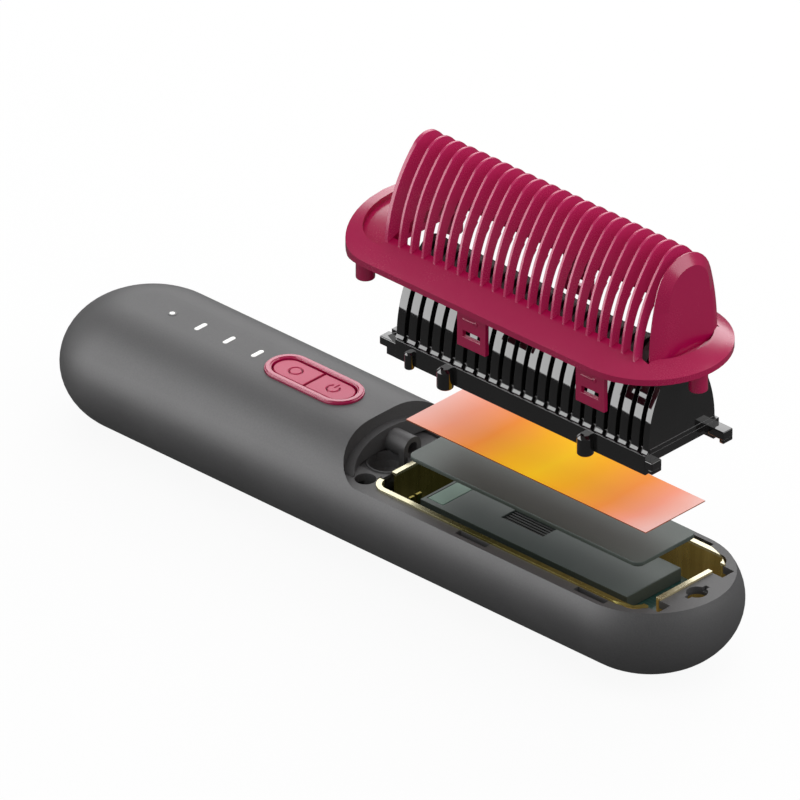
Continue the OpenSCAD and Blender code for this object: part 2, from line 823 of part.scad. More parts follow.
// Two upright brass tabs on the terminal block
module contact_tabs() {
    color([0.55, 0.5, 0.2]) for (y = [terminal_y0 + 2.4, terminal_y0 + 5])
        box(board_x0 + 2, board_x0 + 2.8, y, y + 1.7, rail_low - 0.5, block_top - 0.7);
}

module spacer_posts() {
    color([0.8, 0.8, 0.78]) for (sx = [-1, 1]) translate([block_x + sx * (block_l / 2 - 3.5), 0, 0])
        both_sides() translate([0, block_w / 2 - 1.6, 0]) rod(2, board_top, base_z);
}

module base_board() {
    color([0.12, 0.3, 0.28]) round_plate(block_x - block_l / 2 - 0.7,
        block_x + block_l / 2 + 5.6, film_w / 2 + 0.8, 1, base_z, block_z);
}

// Dark block with a sunk window in its top and a shallow seat for the pad
module heater_block() {
    color([0.28, 0.3, 0.28]) difference() {
        x_box(block_x - block_l / 2, block_x + block_l / 2, block_w / 2, block_z, block_top);
        x_box(block_x - 14.5, block_x - 0.3, 2.6, block_top - 2, block_top + 1);
        translate([block_x - block_l / 2 + 1, 0, 0])
            x_box(0, pad_seat_l, block_w / 2 - 1.7, block_top - pad_seat_d, block_top + 1);
    }
}

// Striped window: a thin floor with five ribs along it
module window_grille() {
    color([0.12, 0.16, 0.15]) translate([block_x - 14.4, 0, 0]) {
        x_box(0, 14, 2.5, block_top - 2, block_top - 1.2);
        for (i = [-2:2]) translate([0, i * 1.05, 0]) x_box(0, 14, 0.25, block_top - 1.3, block_top - 0.4);
    }
}

module thermal_pad() {
    color([0.42, 0.48, 0.44]) translate([block_x - block_l / 2 + 1, 0, 0])
        x_box(0.1, pad_seat_l - 0.1, block_w / 2 - 1.8, block_top - pad_seat_d, block_top);
}

module heat_plate() {
    color([0.3, 0.34, 0.31]) translate([0, 0, plate_lift])
        round_plate(stack_x - plate_l / 2, stack_x + plate_l / 2, film_w / 2, plate_r,
            plate_z, plate_z + plate_t);
}

module heating_film() {
    color([0.92, 0.62, 0.3]) translate([0, 0, film_lift])
        x_box(film_x - film_l / 2, film_x + film_l / 2, film_w / 2, film_z, film_z + film_t);
}

// Corner tab of the comb, stepped down at its tip
module comb_tab() {
    box(-1, corner_tab, tab_y0, rail_half, deck_z - 4.6, deck_z - 2.2);
    box(corner_tab - 1.5, corner_tab, tab_y0, rail_half, deck_z - 5.6, deck_z - 2.2);
}

// Row of solid arches on a framed floor, nested under the cover's ribs
module heated_comb() {
    first_x = rib_x + first_rib_more + rib_t + rib_gap;
    foot_z = comb_floor_z + 0.1;
    color([0.13, 0.125, 0.125]) translate([0, 0, comb_lift]) {
        difference() {
            union() {
                x_box(comb_x0, comb_x1, rail_half, rail_low, rail_top);
                x_box(comb_x0, comb_x1, rail_half - 1.2, rail_low, comb_floor_z + comb_floor_t);
            }
            x_box(stack_x - film_l / 2 - film_gap, film_x + film_l / 2 + film_gap, rail_in,
                rail_low - 1, comb_floor_z);
            x_box(comb_x0 - 1, comb_x1 + 1, rail_in, rail_low - 1, deck_z - 3.7);
        }
        for (i = [0:rib_count - 2]) slice(first_x + i * pitch, comb_rib_t)
            polygon(arch(comb_half, foot_z, deck_z + comb_top, comb_lean));
        slice(first_x + (rib_count - 1) * pitch, comb_rib_t - last_less)
            polygon(arch(comb_half, foot_z, deck_z + comb_top, comb_lean));
        both_sides() {
            translate([comb_x1, 0, 0]) comb_tab();
            translate([comb_x0, 0, 0]) mirror([1, 0, 0]) intersection() {
                comb_tab();
                box(-2, left_tab, 0, body_w, 0, body_h);
            }
            for (share = [-0.265, 0.277]) translate([stack_x + share * comb_l, boss_y, 0])
                rod(boss_r, rail_low - 1.3, rail_top - 1);
            translate([stack_x - 0.407 * comb_l, boss_y - 0.3, 0]) rod(1.3, rail_low - 0.8, rail_top - 1.5);
        }
    }
}

// One arched rib: the arch less its opening, with two small hooks inside
module rib_shape() {
    foot_z = rib_z;
    inner_top = foot_z + arch_h;
    difference() {
        polygon(arch(rib_half, foot_z, deck_z + rib_top, rib_lean));
        polygon(arch(rib_half - 2.7, foot_z - 0.1, inner_top, rib_lean));
    }
    for (s = [-1, 1])
        polygon([[s * 7.4, inner_top - 0.6], [s * 6, inner_top + 0.2], [s * 5.4, inner_top - 2.6]]);
}

// Solid end cap with a smaller front face, so its edge is bevelled all round
module end_cap() {
    drop = 1.4;
    hull() {
        slice(cap_x, 0.1) polygon(arch(cap_half, rib_z, deck_z + rib_top - drop, 12));
        slice(cap_x + cap_t, 0.1) polygon(arch(cap_front_half, rib_z, deck_z + rib_top - drop - 3, 10));
    }
}

// Sunk pockets at both ends of the cover, grown by more
module pockets(more) {
    translate([0, 0, cover_z - 1]) linear_extrude(body_h) {
        intersection() {
            translate([squircle_x - 0.9, 0]) circle(r = pocket_half + more, $fn = 72);
            translate([open_x, -body_w / 2]) square([rib_x - open_x + (more > 0 ? 1 : 0), body_w]);
        }
        intersection() {
            translate([end_c + 1, 0]) circle(r = pocket_half + 2.1 + more, $fn = 72);
            translate([cap_x + (more > 0 ? 0 : 1), -body_w / 2]) square([30, body_w]);
        }
    }
}

// Crowned shell with the window that the ribs stand over
module cover_shell() {
    difference() {
        intersection() {
            dome(0, cover_z, open_x - 2);
            translate([0, 0, cover_z - 1]) linear_extrude(body_h)
                polygon(squircle(deck_half + 0.25 - cover_gap, squircle_a - cover_gap, head_x + 1));
        }
        difference() {
            dome(cover_t, cover_z - 1, open_x - 3);
            pockets(1.4);
        }
        dome(cover_t + pocket_more, cover_z - 2, open_x - 3);
        // Rebate over the tray's lip
        intersection() {
            dome(cover_t, cover_z - 2, open_x - 3);
            round_plate(tray_x0 - lip_out - 0.3, tray_x1 + lip_out + 0.3, tray_half + lip_out + 0.3,
                tray_r + lip_out, cover_z - 1, deck_z + lip_t + 0.3);
        }
        difference() {
            pockets(0);
            dome(pocket_d, cover_z - 2, open_x - 4);
        }
        x_box(rib_x + first_rib_more + rib_t, cap_x, window_half, 0, body_h + 1);
    }
}

module clip_tab() {
    difference() {
        box(-clip_w / 2, clip_w / 2, clip_y - clip_t / 2, clip_y + clip_t / 2,
            deck_z - clip_drop, edge_z - 0.2);
        box(-3, 3, clip_y - 2, clip_y + 2, deck_z - 7.4, deck_z - 5.5);
        translate([1.5, clip_y, deck_z - 2.3]) rotate([90, 0, 0]) cylinder(r = 0.6, h = 4, $fn = 24);
    }
}

module comb_cover() {
    color([0.6, 0.12, 0.3]) translate([0, 0, cover_lift]) {
        cover_shell();
        slice(rib_x, first_rib_more + rib_t) rib_shape();
        for (i = [1:rib_count - 1]) slice(rib_x + first_rib_more + i * pitch, rib_t) rib_shape();
        end_cap();
        translate([post_x, 0, 0]) rod(post_d / 2, post_low, body_h - cover_t - 1.5);
        both_sides() {
            translate([side_post_x, side_post_y, 0]) rod(post_d / 2, post_low, edge_z + 1.4);
            for (x = [clip_x, clip_x + clip_pitch]) translate([x, 0, 0]) clip_tab();
        }
    }
}

main_housing();
bottom_cover();
cover_screws();
button_bezel();
power_key();
mode_key();
light_guide();
light_chips();
control_board();
control_board_screws();
power_switch();
mode_switch();
battery_cell_left();
battery_cell_right();
battery_cradle();
cell_link_front();
cell_link_rear();
charging_board();
charging_socket();
positive_lead();
negative_lead();
ribbon_cable();
heat_tray();
tray_screws();
driver_board();
driver_board_screws();
power_inductor();
driver_capacitors();
driver_transistors();
terminal_block();
contact_tabs();
spacer_posts();
base_board();
heater_block();
window_grille();
thermal_pad();
heat_plate();
heating_film();
heated_comb();
comb_cover();
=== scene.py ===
import math

import bmesh
import bpy
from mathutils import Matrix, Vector


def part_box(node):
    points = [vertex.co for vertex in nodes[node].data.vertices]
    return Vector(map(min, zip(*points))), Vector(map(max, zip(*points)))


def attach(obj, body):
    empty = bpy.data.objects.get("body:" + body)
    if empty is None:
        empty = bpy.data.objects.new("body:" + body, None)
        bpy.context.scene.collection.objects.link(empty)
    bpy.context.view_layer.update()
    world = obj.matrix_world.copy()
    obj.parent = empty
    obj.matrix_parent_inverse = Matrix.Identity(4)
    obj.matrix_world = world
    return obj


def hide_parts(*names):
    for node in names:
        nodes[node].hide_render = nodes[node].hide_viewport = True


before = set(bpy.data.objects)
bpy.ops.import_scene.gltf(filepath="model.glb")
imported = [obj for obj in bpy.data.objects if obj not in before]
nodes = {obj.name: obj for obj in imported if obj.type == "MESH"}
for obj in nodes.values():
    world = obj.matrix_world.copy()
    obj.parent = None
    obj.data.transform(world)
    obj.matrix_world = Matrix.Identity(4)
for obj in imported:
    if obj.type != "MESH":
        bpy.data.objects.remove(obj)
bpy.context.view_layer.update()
mm = 0.001
print("frame loaded:", len(nodes), "nodes")


# Camera: a long lens, because the picture shows hardly any perspective
def aim(thing, place, target):
    thing.location = place
    thing.rotation_mode = "QUATERNION"
    thing.rotation_quaternion = (Vector(target) - Vector(place)).to_track_quat("-Z", "Y")


def direction(azimuth, elevation):
    turn = math.radians(azimuth)
    rise = math.radians(elevation)
    return Vector((math.sin(turn) * math.cos(rise), -math.cos(turn) * math.cos(rise), math.sin(rise)))


cameraPlan = {
    "azimuth": 43.4,
    "elevation": 30.0,
    "target": Vector((0.0, 0.0, 39.2 * mm)),
    "frameWidth": 203.05 * mm,
    "lens": 1300.0,
    "sensor": 36.0,
}


def makeCamera(plan):
    data = bpy.data.cameras.new("camera")
    data.lens = plan["lens"]
    data.sensor_width = plan["sensor"]
    distance = plan["frameWidth"] * plan["lens"] / plan["sensor"]
    data.clip_start = 0.1
    data.clip_end = distance * 4
    camera = bpy.data.objects.new("camera", data)
    bpy.context.scene.collection.objects.link(camera)
    aim(camera, plan["target"] + direction(plan["azimuth"], plan["elevation"]) * distance, plan["target"])
    bpy.context.scene.camera = camera


makeCamera(cameraPlan)
bpy.context.scene.view_settings.view_transform = "Standard"
bpy.context.scene.view_settings.look = "None"
print("camera placed")


# Shader maths: a value wraps a socket, so that sums of sockets read as sums
class Value:
    def __init__(self, graph, socket):
        self.graph = graph
        self.socket = socket

    def maths(self, operation, first, second):
        return self.graph.node("Math", {"operation": operation}, {0: first, 1: second})

    def __add__(self, other):
        return self.maths("ADD", self, other)

    __radd__ = __add__

    def __mul__(self, other):
        return self.maths("MULTIPLY", self, other)

    __rmul__ = __mul__

    def __sub__(self, other):
        return self.maths("SUBTRACT", self, other)

    def __rsub__(self, other):
        return self.maths("SUBTRACT", other, self)

    def __truediv__(self, other):
        return self.maths("DIVIDE", self, other)

    def __rtruediv__(self, other):
        return self.maths("DIVIDE", other, self)

    def __abs__(self):
        return self.maths("ABSOLUTE", self, 0.0)

    def above(self, edge):
        return self.maths("GREATER_THAN", self, edge)

    def larger(self, other):
        return self.maths("MAXIMUM", self, other)

    # What is left after whole lengths. Many lengths are added first, so that it's never negative.
    def wrapped(self, length):
        return self.maths("MODULO", self + 1000 * length, length)

    def eased(self, low, high, start=0.0, end=1.0):
        return self.graph.node("MapRange", {"clamp": True, "interpolation_type": "SMOOTHSTEP"},
                               {0: self, 1: low, 2: high, 3: start, 4: end})


# The nodes of one material or world, with the few patterns that the finishes share
class Graph:
    def __init__(self, owner):
        self.owner = owner
        owner.use_nodes = True
        self.tree = owner.node_tree
        self.tree.nodes.clear()

    def plug(self, value, socket):
        if isinstance(value, Value):
            self.tree.links.new(value.socket, socket)
        elif socket.type == "RGBA":
            socket.default_value = (*value[:3], 1.0)
        else:
            socket.default_value = value

    def setStops(self, points, stops):
        while len(points) < len(stops):
            points.new(0.5)
        for point, (spot, colour) in zip(points, stops):
            point.position = spot
            point.color = (*colour, 1.0)

    def node(self, kind, settings=None, inputs=None, output=0):
        made = self.tree.nodes.new("ShaderNode" + kind)
        for key, value in (settings or {}).items():
            if key == "stops":
                self.setStops(made.color_ramp.elements, value)
            else:
                setattr(made, key, value)
        for key, value in (inputs or {}).items():
            self.plug(value, made.inputs[key])
        return Value(self, made.outputs[output]) if len(made.outputs) else None

    def place(self, scale):
        spot = self.node("TexCoord", output="Object")
        return self.node("VectorMath", {"operation": "MULTIPLY"}, {0: spot, 1: scale})

    def axis(self, letter):
        return self.node("SeparateXYZ", None, {0: self.node("TexCoord", output="Object")}, letter)

    def facing(self, letter):
        normal = self.node("NewGeometry", output="Normal")
        return self.node("SeparateXYZ", None, {0: normal}, letter)

    def noise(self, size, detail=3.0, rough=0.55, stretch=(1.0, 1.0, 1.0)):
        return self.node("TexNoise", None, {
            "Vector": self.place(stretch), "Scale": 1 / size, "Detail": detail, "Roughness": rough,
        }, "Fac")

    def cells(self, size):
        return self.node("TexVoronoi", {"feature": "F1"},
                         {"Vector": self.place((1.0, 1.0, 1.0)), "Scale": 1 / size}, "Distance")

    def mix(self, share, first, second):
        settings = {"data_type": "RGBA", "clamp_factor": True}
        return self.node("Mix", settings, {0: share, 6: first, 7: second}, 2)

    def bump(self, height, depth, strength):
        inputs = {"Strength": strength, "Distance": depth, "Height": height}
        return self.node("Bump", None, inputs, "Normal")

    def finish(self, inputs):
        shader = self.node("BsdfPrincipled", None, inputs)
        self.node("OutputMaterial", None, {0: shader})
        return self.owner


def newFinish(name):
    return Graph(bpy.data.materials.new(name))


# A picture's colour, 0 to 255, as linear light
def linear(red, green, blue):
    shares = [c / 255 for c in (red, green, blue)]
    return tuple(s / 12.92 if s < 0.04045 else ((s + 0.055) / 1.055) ** 2.4 for s in shares)


def darker(colour, share):
    return tuple(c * share for c in colour)


# Moulded plastic: faint colour drift, fine grain and a roughness that wanders a little.
# The sizes in this look and in those below are millimetres.
mouldedLook = {
    "cloud": 14.0, "grain": 0.35, "depth": 0.02, "drift": 0.48, "speck": 0.3, "shade": 0.75, "index": 1.5,
    "metallic": 0.0, "glow": 0.0, "coat": 0.0, "coatRoughness": 0.2, "roughCloud": 0.12, "roughGrain": 0.1,
    "bump": 0.5,
}


def moulded(name, colour, roughness, **changes):
    look = {**mouldedLook, **changes}
    g = newFinish(name)
    slow = g.noise(look["cloud"] * mm, detail=2.0)
    fine = g.noise(look["grain"] * mm, detail=2.0, rough=0.6)
    share = (slow - 0.5) * look["drift"] + 0.5 + (fine - 0.5) * look["speck"]
    return g.finish({
        "Base Color": g.mix(share, darker(colour, look["shade"]), colour),
        # A glow above zero is painted light: the part shines though it is no lamp
        "Emission Color": colour,
        "Emission Strength": look["glow"],
        "IOR": look["index"],
        "Metallic": look["metallic"],
        "Roughness": (slow - 0.5) * look["roughCloud"] + (fine - 0.5) * look["roughGrain"] + roughness,
        "Coat Weight": look["coat"],
        "Coat Roughness": look["coatRoughness"],
        "Normal": g.bump(fine, look["depth"] * mm, look["bump"]),
    })


def bodyFinish():
    return moulded("bodyFinish", (0.124, 0.123, 0.125), roughness=0.52, grain=0.45, depth=0.035,
                   metallic=0.2, shade=0.76, speck=1.4)


def hatchFinish():
    return moulded("hatchFinish", (0.14, 0.14, 0.142), roughness=0.46, grain=0.3, depth=0.016,
                   metallic=0.5, shade=0.93)


def roseFinish():
    return moulded("roseFinish", linear(184, 6, 80), roughness=0.25, grain=0.3, depth=0.008, coat=0.6,
                   shade=0.92, index=1.65)


# The ribs wear a lighter copy of the rose plastic that glows a little: painted light that brightens their
# faces, which lie in shade between the ribs
def litRibFinish():
    return moulded("litRibFinish", linear(180, 38, 90), roughness=0.27, grain=0.3, depth=0.008, coat=0.25,
                   shade=0.92, glow=0.2, index=1.6)


def keyFinish():
    return moulded("keyFinish", linear(196, 50, 94), roughness=0.4, grain=0.25, depth=0.012, coat=0.1,
                   shade=0.92)


def rubberFinish(name, colour):
    return moulded(name, colour, roughness=0.6, grain=0.5, depth=0.03, drift=0.8, shade=0.8)


# Black comb: high gloss below, dull near the tops of its arches. Heights are those at rest.
combLook = {
    "dark": (0.006, 0.006, 0.006), "light": (0.014, 0.013, 0.013), "cloud": 9.0, "grain": 0.4, "flow": 1.1,
    "dullFrom": 83.5, "dullTo": 86.5, "roughness": 0.03, "roughCloud": 0.03, "roughFlow": 0.02,
    "dullness": 0.4, "coatLoss": 0.95, "coatRoughness": 0.01, "index": 1.65, "grainShare": 0.03,
    "depth": 0.04, "bump": 0.2,
}


def combFinish():
    look = combLook
    g = newFinish("combFinish")
    slow = g.noise(look["cloud"] * mm, detail=3.0)
    fine = g.noise(look["grain"] * mm, detail=2.0)
    flow = g.noise(look["flow"] * mm, detail=2.0, rough=0.5, stretch=(0.15, 1.0, 1.0))
    upper = g.axis("Z").eased(look["dullFrom"] * mm, look["dullTo"] * mm)
    gloss = slow * look["roughCloud"] + flow * look["roughFlow"] + look["roughness"]
    return g.finish({
        "Base Color": g.mix(slow, look["dark"], look["light"]),
        "Roughness": gloss + upper * look["dullness"],
        "IOR": look["index"],
        "Coat Weight": 1.0 - upper * look["coatLoss"],
        "Coat Roughness": look["coatRoughness"],
        "Normal": g.bump(slow + fine * look["grainShare"], look["depth"] * mm, look["bump"]),
    })


# Heating film: hot in the middle, paler towards both ends, dark along its cut sides
filmLook = {
    "stops": [
        (0.0, linear(224, 172, 164)),
        (0.13, linear(224, 142, 112)),
        (0.27, linear(226, 132, 48)),
        (0.4, linear(232, 164, 10)),
        (0.52, linear(236, 182, 0)),
        (0.64, linear(232, 160, 12)),
        (0.8, linear(226, 134, 56)),
        (0.91, linear(224, 142, 118)),
        (1.0, linear(216, 168, 160)),
    ],
    "side": linear(120, 60, 34), "cloud": 16.0, "wander": 0.06, "bow": 0.02, "weave": 0.5,
    "roughness": 0.6, "roughWeave": 0.1, "specular": 0.1, "glow": 0.55, "depth": 0.01, "bump": 0.4,
}


def filmFinish():
    look = filmLook
    g = newFinish("filmFinish")
    low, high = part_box("heating_film")
    x = (g.axis("X") - low.x) / (high.x - low.x)
    y = abs(g.axis("Y")) / high.y
    wander = (g.noise(look["cloud"] * mm, detail=2.0) - 0.5) * look["wander"]
    heat = g.node("ValToRGB", {"stops": look["stops"]}, {0: x + wander + y * y * look["bow"]})
    weave = g.noise(look["weave"] * mm, detail=2.0)
    colour = g.mix(g.facing("Z").above(0.5), look["side"], heat)
    return g.finish({
        "Base Color": colour,
        "Roughness": weave * look["roughWeave"] + look["roughness"],
        "Specular IOR Level": look["specular"],
        # The film glows a little: painted light that keeps its colours bright
        "Emission Color": colour,
        "Emission Strength": look["glow"],
        "Normal": g.bump(weave, look["depth"] * mm, look["bump"]),
    })


# Dark coated metal with a faint green cast, speckled and slightly brighter towards its ends
plateLook = {
    "speck": 0.5, "cloud": 12.0, "endShare": 0.7, "cloudShare": 0.5, "speckShare": 0.7, "endFrom": 0.1,
    "metallic": 0.2, "roughSpeck": 0.14, "depth": 0.015, "bump": 0.6,
}


def plateFinish(name, node, dark, light, roughness):
    look = plateLook
    g = newFinish(name)
    low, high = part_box(node)
    middle = (low.x + high.x) / 2
    far = abs(g.axis("X") - middle) / (high.x - middle)
    speck = g.noise(look["speck"] * mm, detail=3.0, rough=0.7)
    cloud = g.noise(look["cloud"] * mm, detail=3.0)
    wander = (cloud - 0.5) * look["cloudShare"] + (speck - 0.5) * look["speckShare"]
    share = far.eased(look["endFrom"], 1.0) * look["endShare"] + wander
    return g.finish({
        "Base Color": g.mix(share, dark, light),
        "Metallic": look["metallic"],
        "Roughness": (speck - 0.5) * look["roughSpeck"] + roughness,
        "Normal": g.bump(speck, look["depth"] * mm, look["bump"]),
    })


# Polished brass coloured tray: streaked walls with painted shade that darkens them at the handle's end, and
# a pale lip with painted shade that makes it duller along its front side
trayLook = {
    "lipFrom": 1.0, "lipTo": 0.5, "streak": 2.2, "cloud": 7.0, "headFrom": 40.0, "headTo": 92.0,
    "handleWall": (linear(60, 56, 24), linear(96, 90, 44)),
    "headWall": (linear(140, 110, 46), linear(206, 176, 100)),
    "rim": linear(212, 206, 178), "shadedRim": linear(112, 106, 60),
    "shadeSide": (9.0, 12.0), "shadeAlong": (4.0, 44.0),
    "glow": 0.14, "metallic": 0.85, "roughness": 0.14, "roughCloud": 0.16, "roughStreak": 0.08,
    "streakShare": 0.3, "depth": 0.1, "bump": 0.4,
}


def trayFinish():
    look = trayLook
    g = newFinish("trayFinish")
    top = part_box("heat_tray")[1].z
    lip = g.axis("Z").eased(top - look["lipFrom"] * mm, top - look["lipTo"] * mm)
    streak = g.noise(look["streak"] * mm, detail=3.0, rough=0.6, stretch=(1.0, 1.0, 0.08))
    cloud = g.noise(look["cloud"] * mm, detail=2.0)
    head = g.axis("X").eased(look["headFrom"] * mm, look["headTo"] * mm)
    # Painted shade: the walls darken towards the handle's end
    wall = g.mix(head, g.mix(streak, *look["handleWall"]), g.mix(streak, *look["headWall"]))
    # Painted shade: the lip darkens along its front side
    (sideFrom, sideTo), (alongFrom, alongTo) = look["shadeSide"], look["shadeAlong"]
    shadeSide = (0.0 - g.axis("Y")).eased(sideFrom * mm, sideTo * mm)
    frontShade = shadeSide * g.axis("X").eased(alongFrom * mm, alongTo * mm)
    return g.finish({
        "Base Color": g.mix(lip, wall, g.mix(frontShade, look["rim"], look["shadedRim"])),
        # The walls glow faintly: painted light
        "Emission Color": wall,
        "Emission Strength": look["glow"],
        "Metallic": look["metallic"],
        "Roughness": cloud * look["roughCloud"] + streak * look["roughStreak"] + look["roughness"],
        "Normal": g.bump(cloud + streak * look["streakShare"], look["depth"] * mm, look["bump"]),
    })


# Circuit board: lacquer over short tracks and round pads
boardLook = {
    "pitch": 1.27, "gap": 0.5, "run": 5.0, "padPitch": 2.4, "pad": (0.18, 0.22),
    "trackCover": 0.55, "padCover": 0.8, "lacquer": 6.0, "metallic": 0.3, "roughness": 0.28,
    "roughLacquer": 0.15, "coat": 0.3, "coatRoughness": 0.15, "depth": 0.03, "bump": 0.4,
}


def boardFinish(name, colour, track):
    look = boardLook
    g = newFinish(name)
    lacquer = g.noise(look["lacquer"] * mm, detail=2.0)
    line = abs(g.axis("Y").wrapped(look["pitch"] * mm) - look["pitch"] / 2 * mm).above(look["gap"] * mm)
    run = g.noise(look["run"] * mm, detail=1.0, rough=0.5, stretch=(0.25, 1.0, 1.0)).above(0.5)
    pad = g.cells(look["padPitch"] * mm).eased(*look["pad"], 1.0, 0.0)
    copper = (line * run * look["trackCover"]).larger(pad * look["padCover"])
    return g.finish({
        "Base Color": g.mix(copper, colour, track),
        "Metallic": copper * look["metallic"],
        "Roughness": lacquer * look["roughLacquer"] + look["roughness"],
        "Coat Weight": look["coat"],
        "Coat Roughness": look["coatRoughness"],
        "Normal": g.bump(copper, look["depth"] * mm, look["bump"]),
    })


# Plain metal with fine brush marks along one direction
brushedLook = {"marks": 0.3, "cloud": 4.0, "markShare": 0.6, "cloudShare": 0.4, "shade": 0.72,
               "roughMarks": 0.12, "roughCloud": 0.08, "depth": 0.01, "bump": 0.5}


def brushed(name, colour, roughness, stretch):
    look = brushedLook
    g = newFinish(name)
    marks = g.noise(look["marks"] * mm, detail=3.0, rough=0.6, stretch=stretch)
    cloud = g.noise(look["cloud"] * mm, detail=2.0)
    share = marks * look["markShare"] + cloud * look["cloudShare"]
    wander = (marks - 0.5) * look["roughMarks"] + (cloud - 0.5) * look["roughCloud"]
    return g.finish({
        "Base Color": g.mix(share, darker(colour, look["shade"]), colour),
        "Metallic": 1.0,
        "Roughness": wander + roughness,
        "Normal": g.bump(marks, look["depth"] * mm, look["bump"]),
    })


# Cell: printed sleeve round the side, bare metal on both ends
sleeveLook = {"dark": linear(36, 82, 128), "light": linear(52, 104, 152), "ends": linear(190, 188, 182),
              "cloud": 8.0, "grain": 0.6, "metallic": 0.9, "roughness": 0.25, "roughCloud": 0.15,
              "cloudShare": 2.0, "depth": 0.02, "bump": 0.5}


def sleeveFinish():
    look = sleeveLook
    g = newFinish("sleeveFinish")
    cloud = g.noise(look["cloud"] * mm, detail=2.0)
    fine = g.noise(look["grain"] * mm, detail=2.0)
    ends = abs(g.facing("X")).above(0.7)
    return g.finish({
        "Base Color": g.mix(ends, g.mix(cloud, look["dark"], look["light"]), look["ends"]),
        "Metallic": ends * look["metallic"],
        "Roughness": cloud * look["roughCloud"] + look["roughness"],
        "Normal": g.bump(fine + cloud * look["cloudShare"], look["depth"] * mm, look["bump"]),
    })


# Light lenses: clear, with a dark ring round the small dot at dotX, and a faint glow that is painted light
lensLook = {"dark": linear(228, 228, 226), "light": linear(240, 240, 238), "cloud": 1.5, "dotX": -80.1,
            "dotRadius": 0.72, "ringRadius": 2.0, "ring": (0.06, 0.06, 0.06), "glow": 0.25,
            "roughness": 0.25, "roughCloud": 0.1, "depth": 0.02, "bump": 0.4}


def lensFinish():
    look = lensLook
    g = newFinish("lensFinish")
    cloud = g.noise(look["cloud"] * mm, detail=2.0)
    x = g.axis("X") - look["dotX"] * mm
    y = g.axis("Y")
    out = g.node("Math", {"operation": "SQRT"}, {0: x * x + y * y})
    ring = out.above(look["dotRadius"] * mm) * (1.0 - out.above(look["ringRadius"] * mm))
    colour = g.mix(ring, g.mix(cloud, look["dark"], look["light"]), look["ring"])
    return g.finish({
        "Base Color": colour,
        "Roughness": cloud * look["roughCloud"] + look["roughness"],
        # The faint glow is painted light
        "Emission Color": colour,
        "Emission Strength": look["glow"],
        "Normal": g.bump(cloud, look["depth"] * mm, look["bump"]),
    })


finishes = {
    "body": bodyFinish(),
    "hatch": hatchFinish(),
    "rose": roseFinish(),
    "ribs": litRibFinish(),
    "key": keyFinish(),
    "comb": combFinish(),
    "film": filmFinish(),
    "plate": plateFinish("plateFinish", "heat_plate", linear(64, 74, 68), linear(88, 98, 94), 0.45),
    "block": plateFinish("blockFinish", "heater_block", linear(64, 76, 72), linear(84, 92, 88), 0.5),
    "grille": moulded("grilleFinish", linear(16, 22, 20), roughness=0.6, grain=0.4),
    "pad": rubberFinish("padFinish", linear(140, 172, 156)),
    "tray": trayFinish(),
    "contact": brushed("contactFinish", linear(150, 138, 70), roughness=0.34, stretch=(1.0, 1.0, 0.1)),
    "board": boardFinish("boardFinish", linear(24, 84, 58), linear(92, 142, 92)),
    "base": boardFinish("baseFinish", linear(30, 70, 66), linear(66, 106, 96)),
    "steel": brushed("steelFinish", linear(196, 198, 202), roughness=0.32, stretch=(1.0, 1.0, 0.2)),
    "nickel": brushed("nickelFinish", linear(206, 202, 190), roughness=0.3, stretch=(1.0, 1.0, 0.1)),
    "cell": sleeveFinish(),
    "dark": moulded("darkFinish", (0.035, 0.034, 0.033), roughness=0.45, grain=0.4),
    "lens": lensFinish(),
    "chip": moulded("chipFinish", linear(238, 232, 200), roughness=0.4, grain=0.4),
    "redWire": moulded("redWireFinish", linear(178, 30, 30), roughness=0.42, grain=0.6),
    "blackWire": moulded("blackWireFinish", linear(32, 32, 34), roughness=0.42, grain=0.6),
    "ribbon": moulded("ribbonFinish", linear(216, 214, 200), roughness=0.5, grain=0.5),
    "copper": brushed("copperFinish", linear(196, 120, 70), roughness=0.36, stretch=(0.3, 0.3, 1.0)),
    "can": brushed("canFinish", linear(70, 74, 86), roughness=0.4, stretch=(1.0, 1.0, 0.15)),
    "spacer": moulded("spacerFinish", linear(206, 204, 196), roughness=0.45, grain=0.4),
}

# Which solid wears which finish. The comb and its cover are dressed where they are rebuilt.
wearing = {
    "body": ["main_housing"],
    "hatch": ["bottom_cover"],
    "rose": ["button_bezel"],
    "key": ["power_key", "mode_key"],
    "film": ["heating_film"],
    "plate": ["heat_plate"],
    "block": ["heater_block"],
    "grille": ["window_grille"],
    "pad": ["thermal_pad"],
    "tray": ["heat_tray"],
    "contact": ["contact_tabs"],
    "board": ["driver_board", "control_board", "charging_board"],
    "base": ["base_board"],
    "steel": ["cover_screws", "control_board_screws", "driver_board_screws", "tray_screws",
              "charging_socket"],
    "nickel": ["cell_link_front", "cell_link_rear"],
    "cell": ["battery_cell_left", "battery_cell_right"],
    "dark": ["battery_cradle", "power_switch", "mode_switch", "driver_transistors", "terminal_block"],
    "lens": ["light_guide"],
    "chip": ["light_chips"],
    "redWire": ["positive_lead"],
    "blackWire": ["negative_lead"],
    "ribbon": ["ribbon_cable"],
    "copper": ["power_inductor"],
    "can": ["driver_capacitors"],
    "spacer": ["spacer_posts"],
}


def dress(mesh, finish):
    if not len(mesh.materials):
        mesh.materials.append(finish)
    for index in range(len(mesh.materials)):
        mesh.materials[index] = finish


for finishName, members in wearing.items():
    for member in members:
        dress(nodes[member].data, finishes[finishName])
print("finishes made:", len(finishes))


# Soft edges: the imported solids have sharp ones, and moulded parts never do.
# Widths are millimetres, angles are degrees.
edgeLook = {"weld": 0.005, "flat": 0.4, "sharp": 32.0, "segments": 2}
edgePlan = {
    "main_housing": 0.25, "bottom_cover": 0.2, "heat_tray": 0.12, "button_bezel": 0.15, "power_key": 0.15,
    "mode_key": 0.15, "heat_plate": 0.18, "heater_block": 0.25, "base_board": 0.1, "driver_board": 0.1,
    "terminal_block": 0.2, "thermal_pad": 0.12, "contact_tabs": 0.1, "spacer_posts": 0.2,
    "power_inductor": 0.8, "driver_capacitors": 0.4, "driver_transistors": 0.2,
}


